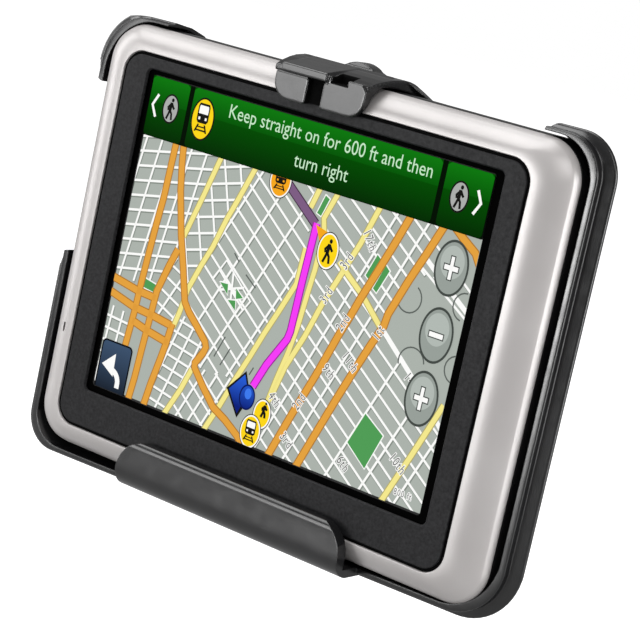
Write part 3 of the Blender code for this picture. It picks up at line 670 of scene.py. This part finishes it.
def strip_tree():
    """Geometry Nodes tree that turns a path of edges into a flat strip of even width."""
    tree = bpy.data.node_groups.new("strip_along_path", "GeometryNodeTree")
    tree.interface.new_socket("Path", in_out="INPUT", socket_type="NodeSocketGeometry")
    tree.interface.new_socket("Width", in_out="INPUT", socket_type="NodeSocketFloat")
    tree.interface.new_socket("Finish", in_out="INPUT", socket_type="NodeSocketMaterial")
    tree.interface.new_socket("Strip", in_out="OUTPUT", socket_type="NodeSocketGeometry")

    def add(kind):
        return tree.nodes.new(kind)

    source, result = add("NodeGroupInput"), add("NodeGroupOutput")
    path, normal = add("GeometryNodeMeshToCurve"), add("GeometryNodeSetCurveNormal")
    section, sweep = add("GeometryNodeCurvePrimitiveLine"), add("GeometryNodeCurveToMesh")
    real, finish = add("GeometryNodeRealizeInstances"), add("GeometryNodeSetMaterial")
    normal.mode = "Z_UP"
    for share, end in ((0.5, "Start"), (-0.5, "End")):
        half, point = add("ShaderNodeMath"), add("ShaderNodeCombineXYZ")
        half.operation = "MULTIPLY"
        half.inputs[1].default_value = share
        tree.links.new(source.outputs["Width"], half.inputs[0])
        tree.links.new(half.outputs[0], point.inputs["X"])
        tree.links.new(point.outputs[0], section.inputs[end])
    for output, socket in ((source.outputs["Path"], path.inputs["Mesh"]),
                           (path.outputs["Curve"], normal.inputs["Curve"]),
                           (normal.outputs["Curve"], sweep.inputs["Curve"]),
                           (section.outputs["Curve"], sweep.inputs["Profile Curve"]),
                           (sweep.outputs["Mesh"], real.inputs["Geometry"]),
                           (real.outputs["Geometry"], finish.inputs["Geometry"]),
                           (source.outputs["Finish"], finish.inputs["Material"]),
                           (finish.outputs["Geometry"], result.inputs["Strip"])):
        tree.links.new(output, socket)
    return tree


STRIPS = strip_tree()


def crop(body, sides):
    """Cuts a flat drawing in X and Y back to left, right, low and high."""
    left, right, low, high = sides
    for point, normal in (((left, 0, 0), (-1, 0, 0)), ((right, 0, 0), (1, 0, 0)),
                          ((0, low, 0), (0, -1, 0)), ((0, high, 0), (0, 1, 0))):
        bmesh.ops.bisect_plane(body, geom=body.verts[:] + body.edges[:] + body.faces[:],
                               plane_co=point, plane_no=normal, clear_outer=True)


MAP = (PICTURE_LEFT, PICTURE_RIGHT, PICTURE_LOW, HEADER_LOW)
SCREEN = (PICTURE_LEFT, PICTURE_RIGHT, PICTURE_LOW, PICTURE_HIGH)


def hang(name, body, material, layer, sides=SCREEN):
    """Stands a flat drawing up on its own layer of the picture."""
    crop(body, sides)
    depth = PICTURE_DEPTH - LAYER * layer
    for vertex in body.verts:
        vertex.co = (vertex.co.x, depth, vertex.co.y)
    for face in body.faces:
        face.normal_update()
        if face.normal.y > 0:
            face.normal_flip()
    made = piece(name, body, material, recalculate=False)
    install(made, "root", "touch_glass")
    return made


def strips(name, paths, width, material, layer, sides=MAP):
    """Paths drawn as strips of one width by the Geometry Nodes tree."""
    body = bmesh.new()
    for path in paths:
        corners = [body.verts.new((x, z, 0)) for x, z in path]
        for start, end in zip(corners, corners[1:]):
            body.edges.new((start, end))
    mesh = bpy.data.meshes.new(name)
    body.to_mesh(mesh)
    body.free()
    holder = bpy.data.objects.new(name + "_path", mesh)
    bpy.context.scene.collection.objects.link(holder)
    modifier = holder.modifiers.new("strip", "NODES")
    modifier.node_group = STRIPS
    named = {item.name: item.identifier for item in STRIPS.interface.items_tree if item.in_out == "INPUT"}
    modifier[named["Width"]] = width
    modifier[named["Finish"]] = material
    bpy.context.view_layer.update()
    swept = bpy.data.meshes.new_from_object(holder.evaluated_get(bpy.context.evaluated_depsgraph_get()))
    bpy.data.objects.remove(holder, do_unlink=True)
    body = bmesh.new()
    body.from_mesh(swept)
    return hang(name, body, material, layer, sides)


def shapes(name, polygons, material, layer, sides=SCREEN):
    """Filled outlines on one layer."""
    body = bmesh.new()
    for polygon in polygons:
        body.faces.new([body.verts.new((x, z, 0)) for x, z in polygon])
    return hang(name, body, material, layer, sides)


def words(name, lines, material, layer, swell=0.0, sides=SCREEN, spread=1.0):
    """Lettering: each line is a text, its middle, height, width as a share of normal, and tilt."""
    body = bmesh.new()
    for text, middle, height, stretch, tilt in lines:
        curve = bpy.data.curves.new(name, "FONT")
        curve.body, curve.size, curve.offset = text, height, swell
        curve.align_x, curve.align_y = "CENTER", "CENTER"
        curve.space_character = spread
        curve.resolution_u = 3
        holder = bpy.data.objects.new(name + "_text", curve)
        bpy.context.scene.collection.objects.link(holder)
        bpy.context.view_layer.update()
        flat = bpy.data.meshes.new_from_object(holder)
        bpy.data.objects.remove(holder, do_unlink=True)
        flat.transform(Matrix.Translation((*middle, 0)) @ Matrix.Rotation(math.radians(tilt), 4, "Z")
                       @ Matrix.Diagonal((stretch, 1, 1, 1)))
        body.from_mesh(flat)
    return hang(name, body, material, layer, sides)


def oval(centre, half_x, half_z, sides=40):
    return [(centre[0] + half_x * x, centre[1] + half_z * z) for x, z in circle((0, 0), 1, sides)]


def inside_lines(area, tilt, step, offset=0.0, keep=1.0, chance=None):
    """Parallel lines at a tilt and a step apart, cut to an area given by its corners."""
    turn = math.radians(tilt)
    along, across = Vector((math.cos(turn), math.sin(turn))), Vector((-math.sin(turn), math.cos(turn)))
    corners = [Vector(corner) for corner in area]
    reach = [corner.dot(across) for corner in corners]
    lines = []
    level = math.floor(min(reach) / step) * step + offset
    while level < max(reach):
        marks = []
        for start, end in zip(corners, corners[1:] + corners[:1]):
            a, b = start.dot(across) - level, end.dot(across) - level
            if (a < 0) != (b < 0):
                marks.append((start + (end - start) * (a / (a - b))).dot(along))
        marks.sort()
        for first, last in zip(marks[::2], marks[1::2]):
            if chance is None or chance.random() < keep:
                lines.append([tuple(across * level + along * first), tuple(across * level + along * last)])
        level += step
    return lines


ORANGE_ROADS = [
    [(-28, 20), (-28.3, 10), (-28.75, 5), (-29.4, -5), (-29.6, -10), (-30.1, -16), (-30.5, -25)],
    [(-26.4, 20), (-25.9, 16.5), (-25, 12), (-23, 5), (-21.2, 0), (-19.8, -4.2), (-19.3, -5.6),
     (-18, -7), (-15.5, -9), (-13.4, -10.8), (-13.0, -11.6), (-13.3, -12.6), (-14.6, -14.8),
     (-14.5, -15.5), (-12, -18), (-9, -20.7), (-6, -22), (-3, -23.7), (-1, -25.2)],
    [(-23, 2.5), (-24.2, -0.7), (-25.7, -5.5), (-26, -10), (-26.4, -16), (-26.7, -21), (-27.2, -25.5)],
    [(-36, -5.6), (-30, -6.5), (-25.7, -6.7)],
    [(-36, -8.1), (-30, -9.4), (-25.5, -9.7), (-21.2, -10.2)],
    [(-29.7, -11.7), (-26, -12.5), (-21.2, -13.2)],
    [(-21, -9.8), (-21.5, -13.5), (-22, -16.2), (-23, -21), (-23.7, -25.5)],
    [(21.4, 20), (19.7, 15.5), (17.5, 10), (15.2, 4.5), (14, 1.2), (12.7, -2), (10, -9.5), (7, -17),
     (4, -25)],
    [(27.8, 20), (25.5, 14.5), (23.5, 10), (21, 3.7), (20.7, 1.7), (19, -2), (16.7, -7.5), (15, -11.7),
     (12.5, -18.2), (9.9, -25)],
    [(29.5, 20), (31.5, 18.6), (34.2, 17.0), (36, 14.5)],
]
YELLOW_ROADS = [
    [(-17.8, 20), (-20, 12.5), (-22.4, 4.8)],
    [(-10.3, 20), (-12.7, 13.7), (-14.2, 10), (-15.9, 4.8), (-17.5, 1.2), (-19.2, -3.2), (-20, -7.5),
     (-20.7, -10.3)],
    [(-15, -16), (-16.5, -20), (-18.9, -25)],
    [(3.2, 20), (2, 16)],
    [(6.9, 20), (5, 15), (5.6, 13), (5.4, 6.7), (5, 3), (4.5, -2.5), (3.7, -7.5), (2.5, -12.5), (1.7, -16.5)],
    [(2.7, 9.5), (2.4, 3.5), (0, -2), (-1.7, -5.7), (-3.7, -10.5), (-5.7, -15), (-7.7, -20), (-10.2, -25.5)],
    [(15.4, 20), (13, 13), (10.7, 7.5), (8.2, 1.7), (6.2, -4.2), (3.7, -10), (2, -16.2)],
    [(9.7, 9.2), (12, 7.5), (15.5, 5.2), (20.4, 1.0)],
    [(34.7, -7), (31, -16.2), (27.3, -25)],
]
# Parts of the town, by their corners
EAST = [(4.9, 15), (7, 19.6), (27.4, 19.6), (21, 3.7), (19, -2), (15, -11.7), (9.9, -25), (-2.5, -25),
        (1.7, -16.5), (3.9, -7.5), (5.2, 4), (5.6, 11)]
MIDDLE = [(-10.4, 19.6), (2.6, 19.6), (2.0, 15), (3.2, 9.5), (2.4, 3.5), (0, -2), (-3.7, -10.5), (-5.7, -15),
          (-13.9, -15.2), (-13, -11.6), (-19.3, -5.6), (-17.5, 1), (-14.2, 10)]
SOUTH = [(-14.8, -15.4), (-5.7, -15), (-10.1, -25), (-18.8, -25)]
SOUTH_EAST = [(20.7, 1), (27.5, -4.2), (35.5, -10.6), (35.5, -25), (9.9, -25), (15, -11.7), (19, -2)]
NORTH_WEST = [(-36, 19.6), (-17.9, 19.6), (-20, 12.5), (-22.4, 4.8), (-25.7, -5.5), (-36, -5)]
BETWEEN = [(-17.9, 19.6), (-10.4, 19.6), (-14.2, 10), (-17.5, 1.2), (-19.2, -3.6), (-22.4, 4.8), (-20, 12.5)]
WEST_BLOCKS = [(-23.3, 1.2), (-21.4, 0.6), (-19.3, -4.6), (-20.2, -8), (-21, -10), (-25.5, -9.6),
               (-25.7, -5.5)]
SOUTH_WEST = [(-36, -10.2), (-30, -11), (-30.4, -25), (-36, -25)]
LOWER_WEST = [(-21, -10.2), (-18, -7.2), (-13, -11.7), (-14.6, -15.2), (-18.9, -25), (-23.7, -25)]
UPPER_EAST = [(27.7, 19.6), (30, 19.6), (35.5, 14.5), (35.5, 7.5), (24.5, 12)]


def streets():
    """Every small street: each part of the town has its own tilts, spacings and offsets."""
    chance = random.Random(11)
    lines = inside_lines(EAST, -34, 2.3, 0.6)
    lines += inside_lines(EAST, 68, 5.6, 1.1, 0.6, chance)
    for area, *grid in ((MIDDLE, (-36, 2.25, 0.2), (65, 5.2, 0.6)), (SOUTH, (-36, 2.6), (66, 2.5)),
                        (SOUTH_EAST, (-34, 2.3, 0.6), (67, 6.4, 1.5)),
                        (NORTH_WEST, (11, 2.5, 0.4), (82, 3.3, 0.5)),
                        (BETWEEN, (15, 2.7, 0.2), (-70, 3.2)), (WEST_BLOCKS, (-22, 2.3), (64, 3.0)),
                        (SOUTH_WEST, (-4, 2.1), (86, 2.4)), (LOWER_WEST, (-10, 2.1, 0.5), (73, 2.6)),
                        (UPPER_EAST, (-34, 4.6, 1.0))):
        for row in grid:
            lines += inside_lines(area, *row)
    lines += [[(-14.6, -0.3), (-12.5, 3.4), (-6, -1.8), (-8, -5.0), (-14.6, -0.3)],
              [(-13.5, 1.5), (-7.1, -3.6)], [(-10.6, 2.0), (-9.9, -3.8)], [(-12.6, -1.6), (-7.8, 0.0)]]
    return lines


def shores():
    """Curved streets near the buttons, and short ones in the middle."""
    curves = [arc((24.2, 7.2), 2.3, 210, 420, 14), arc((27.1, -2.4), 2.4, 10, 200, 14),
              arc((31.0, 3.2), 2.5, 100, 380, 16), arc((34.5, 8.5), 2.2, 90, 260, 10),
              arc((35.5, -1.2), 2.2, 90, 270, 10)]
    dashes = [[(-11.2, 5.0), (-9.9, 3.8)], [(-8.0, 2.2), (-5.5, 0.6)], [(-9.5, -8.8), (-11, -12.6)],
              [(-8.0, -10.4), (-9.4, -13.6)], [(-2.5, -12), (-3.1, -13.4)]]
    return curves + dashes


PARKS = [[(20.9, -12.6), (25, -15), (22.9, -21), (18.7, -18)],
         [(16.6, 12.1), (17.7, 11.4), (16.4, 7.6), (15.2, 8.4)],
         [(18.6, 10.9), (19.5, 10.2), (17.9, 6.3), (17.1, 6.8)],
         [(-28.7, -4.1), (-25.8, -4.6), (-26, -5.9), (-28.9, -5.6)],
         [(4.4, 18.6), (5.3, 18.2), (4.3, 15.2), (3.4, 15.5)],
         [(-12.9, -0.4), (-11.2, -0.3), (-10.9, -2.0)],
         [(-9.4, -0.5), (-7.6, -1.7), (-9.0, -2.2)], [(-10.6, -2.8), (-9.0, -2.5), (-8.7, -4.1)]]

LABEL, LABEL_NARROW = 2.3, 0.72                   # height of a street number, width as a share of normal
NUMBERS = [("17th", 14.6, 13.9, -52), ("3rd", 11.2, 9.6, 68), ("3rd", 8.7, 3.3, 68), ("2nd", 13.0, 0.0, 68),
           ("1st", 20.0, 0.3, 68), ("11th", 15.9, -5.6, -36), ("9th", 12.3, -8.3, -32),
           ("2nd", 7.9, -14.6, 67), ("4th", 3.0, -15.8, -36), ("3rd", 7.0, -21.4, -34),
           ("6th", 18.8, -21.6, -36), ("10th", 28.8, -18.3, -34), ("14th", 28.2, -5.4, -34),
           ("20th", 29.6, 11.0, -38)]


def person(centre, size):
    """Strokes of a walking figure, drawn size tall, and its trunk and head."""
    x, z = centre

    def at(*points):
        return [(x + size * a * 0.75, z + size * b) for a, b in points]

    neck, hip = (0.05, 0.27), (-0.02, -0.05)
    strokes = [at(hip, (0.14, -0.22), (0.2, -0.5)), at(hip, (-0.1, -0.26), (-0.22, -0.5)),
               at(neck, (-0.2, 0.06), (-0.14, -0.08)), at(neck, (0.2, 0.1), (0.3, 0.02))]
    trunk = at((-0.08, 0.3), (0.14, 0.3), (0.1, -0.08), (-0.12, -0.08))
    return strokes, [trunk, oval((x + 0.07 * size, z + 0.42 * size), 0.08 * size, 0.095 * size, 16)]


def train(centre, width, height):
    """The dark shapes of a train seen from the front, and its light windows."""
    x, z = centre

    def at(points, side=1):
        return [(x + width * side * a, z + height * b) for a, b in points]

    front = [(-0.42, 0.5), (0.42, 0.5), (0.5, 0.38), (0.5, -0.12), (0.36, -0.22), (-0.36, -0.22),
             (-0.5, -0.12), (-0.5, 0.38)]
    rail = [(-0.34, -0.26), (-0.2, -0.26), (-0.42, -0.55), (-0.56, -0.55)]
    near = [(-0.4, -0.33), (0.4, -0.33), (0.4, -0.38), (-0.4, -0.38)]
    far = [(-0.5, -0.45), (0.5, -0.45), (0.5, -0.51), (-0.5, -0.51)]
    window = [(-0.36, 0.42), (0.36, 0.42), (0.4, 0.34), (0.4, 0.12), (-0.4, 0.12), (-0.4, 0.34)]
    lamp = [(-0.36, 0.0), (-0.2, 0.0), (-0.2, -0.1), (-0.36, -0.1)]
    return [at(front), at(rail), at(rail, -1), at(near), at(far)], [at(window), at(lamp), at(lamp, -1)]


def picture():
    """The lit map, header and buttons, in thin layers on the face of the touch panel."""
    land = lit("land", tone(170, 177, 170))
    white = lit("street_white", tone(250, 250, 248))
    ink = lit("map_ink", tone(22, 22, 20))
    lead = lit("outline_grey", tone(92, 98, 94))
    yellow = lit("badge_yellow", tone(250, 212, 24))
    amber = lit("badge_amber", tone(244, 166, 28))
    rim = bmesh.new()
    loft(rim, [(outline(37.0, 28.5, 1.0, WINDOW_UP), 0.75), (outline(35.25, 27.2, 0.6, 2.35, -0.35), 0.75)])
    bmesh.ops.delete(rim, geom=[face for face in rim.faces if len(face.verts) > 4], context="FACES")
    install(piece("picture_edge", rim, lit("picture_edge", tone(0, 0, 0))), "root", "black_foam")
    shapes("land", [[(-36, -26), (36, -26), (36, 20), (-36, 20)]], land, 1, MAP)
    lines = streets()
    shade = [[(x + 0.14, z - 0.16) for x, z in line] for line in lines]
    strips("street_edges", shade, 0.5, lit("street_shade", tone(132, 140, 132)), 2)
    lines += [[(20.7, 1), (27.5, -4.2), (33, -9), (36, -12)], [(24.5, 12.8), (36, 6.2)]]
    strips("streets", lines, 0.4, white, 3)
    wide = [[(20.7, 1), (27.5, -4.2), (36, -11.5)], [(25.5, 14), (30, 11), (36, 7.2)]]
    strips("wide_streets", wide, 0.85, white, 4)
    strips("park_paths", [park + park[:2] for park in PARKS], 0.5, white, 3.3)
    shapes("parks", PARKS, lit("park_green", tone(79, 155, 85)), 3.6, MAP)
    strips("shores", shores(), 0.24, lead, 5)
    strips("yellow_edges", YELLOW_ROADS, 1.2, lit("olive_edge", tone(178, 168, 104)), 6)
    strips("yellow_roads", YELLOW_ROADS, 0.88, lit("road_yellow", tone(242, 230, 140)), 7)
    strips("orange_edges", ORANGE_ROADS, 1.5, lit("brown_edge", tone(176, 120, 48)), 8)
    strips("orange_roads", ORANGE_ROADS, 1.12, lit("road_orange", tone(226, 160, 62)), 9)
    labels = [(text, (x, z), LABEL, LABEL_NARROW, tilt) for text, x, z, tilt in NUMBERS]
    labels.append(("800 ft", (31.0, -22.6), 1.5, 0.8, 0))
    words("number_halo", labels, white, 10, 0.15, MAP, 1.2)
    words("numbers", labels, lit("label_ink", tone(96, 98, 96)), 11, 0.0, MAP, 1.2)
    purple = [[(-3.6, 18.8), (-2.7, 18.2), (3.7, 13.7)]]
    strips("walk_edge", purple, 1.75, lit("walk_edge", tone(70, 50, 70)), 12)
    strips("walk_route", purple, 1.35, lit("walk_route", tone(124, 92, 130)), 13)
    route = [[(3.9, 13.9), (3.5, 4), (3.3, -4.2), (3.0, -5.6), (0, -10.8), (-1.8, -15)]]
    strips("route_edge", route, 1.55, lit("route_edge", tone(150, 30, 150)), 14)
    strips("route", route, 1.15, lit("route_magenta", tone(242, 60, 244)), 15)

    badges = [((-4.9, 18.7), 2.3, 2.9), ((7.2, 10.2), 2.2, 3.1), ((1.2, -18.8), 1.9, 2.6),
              ((-0.35, -22.2), 2.2, 2.9)]
    shapes("badge_pointer", [[(3.8, 13.7), (5.3, 11.0), (7.4, 12.8)]], amber, 15.5, MAP)
    for number, (centre, half_x, half_z) in enumerate(badges):
        level = 16 + 4 * (number == 3)
        shapes(f"badge_rim_{number}", [oval(centre, half_x, half_z)], ink, level, MAP)
        shapes(f"badge_light_{number}", [oval(centre, half_x - 0.14, half_z - 0.16)], white, level + 1, MAP)
        shapes(f"badge_{number}", [oval(centre, half_x - 0.36, half_z - 0.42)],
               yellow if number else amber, level + 2, MAP)
    figures, solids = [], []
    for centre, size in (((7.2, 10.2), 3.9), ((1.5, -18.0), 2.6)):
        strokes, filled = person(centre, size)
        figures += strokes
        solids += filled
    cars, panes = train((-4.9, 18.9), 2.2, 3.1)
    strips("walker_strokes", figures, 0.46, ink, 19)
    shapes("walker_bodies", solids + cars, ink, 19, MAP)
    shapes("train_windows", panes, amber, 20, MAP)
    dark, light = train((-0.35, -22.0), 2.1, 3.4)
    shapes("lower_train", dark, ink, 23, MAP)
    shapes("lower_train_windows", light, white, 24, MAP)
    blue = lit("arrow_blue", tone(10, 30, 120), tone(40, 96, 220), -19, -14)
    behind = [(-3.6, -12.9), (-6.9, -16.7), (-3.7, -20.9), (-2.6, -18.6), (-2.6, -15)]
    shapes("arrow_rim", [behind], ink, 20)
    arrow = [(-3.7, -13.5), (-6.4, -16.7), (-3.8, -20.2), (-3.1, -18.3), (-4.1, -17), (-3.0, -15)]
    shapes("arrow", [arrow], blue, 21)
    shapes("ball_rim", [oval((-2.4, -17), 1.65, 2.15)], lit("navy", tone(8, 24, 92)), 22)
    shapes("ball", [oval((-2.4, -17), 1.4, 1.85)], blue, 23)
    shapes("ball_shine", [oval((-2.3, -16.4), 0.7, 0.9)], lit("ball_light", tone(60, 120, 235)), 24)
    header(white, ink, yellow)
    buttons(white)


def header(white, ink, yellow):
    """The green bar over the map, with its words and badges."""
    cells = [(-35.4, -27.1), (-26.1, 25.0), (26.0, 34.7)]
    middle = 25.2
    sides = (PICTURE_LEFT, PICTURE_RIGHT, HEADER_LOW - 0.1, PICTURE_HIGH)
    shapes("header_back", [[(-36, HEADER_LOW), (36, HEADER_LOW), (36, 31), (-36, 31)]],
           lit("header_dark", tone(0, 14, 0)), 25, sides)
    low = lit("header_low", tone(0, 42, 0), tone(0, 76, 0), HEADER_LOW, middle)
    high = lit("header_high", tone(2, 86, 4), tone(12, 122, 14), middle, PICTURE_HIGH)
    lower, upper = [], []
    for left, right in cells:
        across, half = (left + right) / 2, (right - left) / 2
        lower.append(outline(half, 5.4, 0.7, HEADER_LOW + 5.5, across))
        upper.append([(left, middle), (right, middle), (right, 28.9), (right - 0.6, 29.4),
                      (left + 0.6, 29.4), (left, 28.9)])
    shapes("header_low", lower, low, 26)
    shapes("header_high", upper, high, 27)
    lines = [("Keep straight on for 600 ft and then", (2.75, 27.1), 3.3, 0.865, 0),
             ("turn right", (2.5, 22.6), 3.3, 0.86, 0)]
    words("header_words", lines, lit("header_ink", tone(196, 232, 196)), 28)
    chevrons = [[(-33.55, 26.5), (-34.55, 24.6), (-33.5, 22.7)],
                [(32.35, 26.4), (33.3, 24.55), (32.25, 22.65)]]
    strips("chevrons", chevrons, 0.5, white, 28, SCREEN)
    grey = lit("badge_grey", tone(170, 172, 170))
    spots = [((-30.5, 24.7), 1.8, 2.5, grey), ((29.2, 24.6), 1.8, 2.5, grey),
             ((-23.3, 24.6), 2.5, 3.6, yellow)]
    for number, (centre, half_x, half_z, colour) in enumerate(spots):
        shapes(f"header_rim_{number}", [oval(centre, half_x, half_z)], ink, 28)
        shapes(f"header_badge_{number}", [oval(centre, half_x - 0.28, half_z - 0.3)], colour, 29)
    figures, solids = [], []
    for centre in ((-30.5, 24.7), (29.2, 24.6)):
        strokes, filled = person(centre, 3.6)
        figures += strokes
        solids += filled
    dark, light = train((-23.3, 24.9), 2.5, 4.6)
    strips("header_strokes", figures, 0.42, ink, 30, SCREEN)
    shapes("header_figures", solids + dark, ink, 31)
    shapes("header_panes", light, white, 32)


def buttons(white):
    """The oval zoom buttons at the right, and the back button at the lower left."""
    rim, glass = lit("button_rim", tone(66, 72, 68)), lit("button_grey", tone(150, 158, 152))
    glow = lit("button_light", tone(176, 184, 178))
    for number, (x, z, plus) in enumerate(((30.6, 13.7, True), (30.6, 3.0, False), (30.5, -7.2, True))):
        shapes(f"zoom_rim_{number}", [oval((x, z), 3.15, 4.45)], rim, 16)
        shapes(f"zoom_button_{number}", [oval((x, z), 2.8, 4.05)], glass, 17)
        shapes(f"zoom_light_{number}", [oval((x, z + 0.9), 2.2, 2.6)], glow, 18)
        for grow, colour, layer in ((0.18, rim, 19), (0.0, white, 20)):
            bars = [(1.3, 0.38), (0.3, 1.8)][:1 + plus]
            arms = [[(x + side * (across + grow), z + level * (tall + grow))
                     for side, level in ((-1, -1), (1, -1), (1, 1), (-1, 1))] for across, tall in bars]
            shapes(f"zoom_sign_{number}_{layer}", arms, colour, layer)
    shapes("back_rim", [outline(3.5, 4.6, 0.9, -20.8, -31.6)], lit("back_rim", tone(12, 16, 22)), 16)
    shapes("back_button", [outline(3.2, 4.3, 0.7, -20.8, -31.6)],
           lit("back_slate", tone(24, 32, 44), tone(62, 84, 112), -25, -16.5), 17)
    bow = arc((-32.2, -23.2), 2.1, 0, 75, 10)
    strips("back_bow", [bow[::-1] + [(-30.1, -23.9)]], 1.0, white, 18, SCREEN)
    shapes("back_head", [[(-34.3, -20.6), (-31.6, -18.2), (-31.4, -22.2)]], white, 18)


# ---- room, light and camera ----------------------------------------------------------------
def studio():
    """A white room: only the camera sees the floor and the backdrop as pure white."""
    bpy.context.scene.view_settings.view_transform = "Standard"
    floor_body = bmesh.new()
    bmesh.ops.create_grid(floor_body, x_segments=1, y_segments=1, size=3.0)
    mesh = bpy.data.meshes.new("floor")
    floor_body.to_mesh(mesh)
    floor_body.free()
    floor = bpy.data.objects.new("floor", mesh)
    floor.location = (0, 0, -0.16)
    bpy.context.scene.collection.objects.link(floor)
    paper = Finish("white_paper")
    paper.set(Base_Color=(0.4, 0.4, 0.4, 1), Roughness=0.9, Emission_Color=(1, 1, 1, 1))
    seen = paper.add("ShaderNodeLightPath")
    paper.link(seen.outputs["Is Camera Ray"], paper.shader.inputs["Emission Strength"])
    mesh.materials.append(paper.material)

    world = bpy.data.worlds.new("studio")
    world.use_nodes = True
    nodes, links = world.node_tree.nodes, world.node_tree.links
    sky = nodes["Background"]
    sky.inputs["Color"].default_value = (1, 1, 1, 1)
    sky.inputs["Strength"].default_value = 0.3
    backdrop = nodes.new("ShaderNodeBackground")
    backdrop.inputs["Color"].default_value = (1, 1, 1, 1)
    pick = nodes.new("ShaderNodeMixShader")
    path = nodes.new("ShaderNodeLightPath")
    links.new(path.outputs["Is Camera Ray"], pick.inputs["Fac"])
    links.new(sky.outputs["Background"], pick.inputs[1])
    links.new(backdrop.outputs["Background"], pick.inputs[2])
    links.new(pick.outputs["Shader"], nodes["World Output"].inputs["Surface"])
    bpy.context.scene.world = world

    add_light("key_softbox", (0.45, -0.55, 0.5), (0.45, 0.45), 2.2)
    add_light("top_softbox", (-0.28, -0.12, 0.6), (0.6, 0.5), 4.5)
    add_light("front_softbox", (-0.45, -0.62, 0.1), (0.35, 0.4), 2.6)
    add_light("low_strip", (-0.25, -0.7, -0.14), (0.16, 0.34), 3.4)
    add_light("left_strip", (-0.55, -0.12, 0.12), (0.2, 0.5), 1.6)
    add_light("right_strip", (0.6, 0.0, 0.02), (0.36, 0.5), 5.0)


def add_light(name, place, size, power):
    """A rectangular soft light that faces the middle of the object."""
    lamp = bpy.data.lights.new(name, "AREA")
    lamp.shape = "RECTANGLE"
    lamp.size, lamp.size_y = size
    lamp.energy = power
    made = bpy.data.objects.new(name, lamp)
    made.location = place
    made.rotation_euler = (-Vector(place)).to_track_quat("-Z", "Y").to_euler()
    bpy.context.scene.collection.objects.link(made)


def camera():
    """The view from the front right, a little above."""
    lens = bpy.data.cameras.new("camera")
    lens.lens, lens.sensor_width = 133.3, 36.0
    lens.clip_start, lens.clip_end = 0.01, 20.0
    made = bpy.data.objects.new("camera", lens)
    ahead = Vector((-0.5728, 0.8005, -0.1762)).normalized()
    right = Vector((0.7727, 0.5991, 0.2098))
    right = (right - ahead * right.dot(ahead)).normalized()
    up = right.cross(ahead)
    turn = Matrix((right, up, -ahead)).transposed()
    made.matrix_world = Matrix.Translation((0.2247, -0.3014 + DATUM, 0.0657)) @ turn.to_4x4()
    bpy.context.scene.collection.objects.link(made)
    bpy.context.scene.camera = made


camera()
studio()
inner_finishes()
front_bezel()
screen_mask()
casing_black = grained("casing_black", (0.005, 0.005, 0.0052), (0.009, 0.009, 0.0095), 0.3, specular=0.3)
cradle_black = grained("cradle_black", (0.004, 0.004, 0.0042), (0.008, 0.008, 0.0085), 0.22, depth=0.003)
picture()
rear_casing(casing_black)
cradle(cradle_black)
latch(cradle_black)
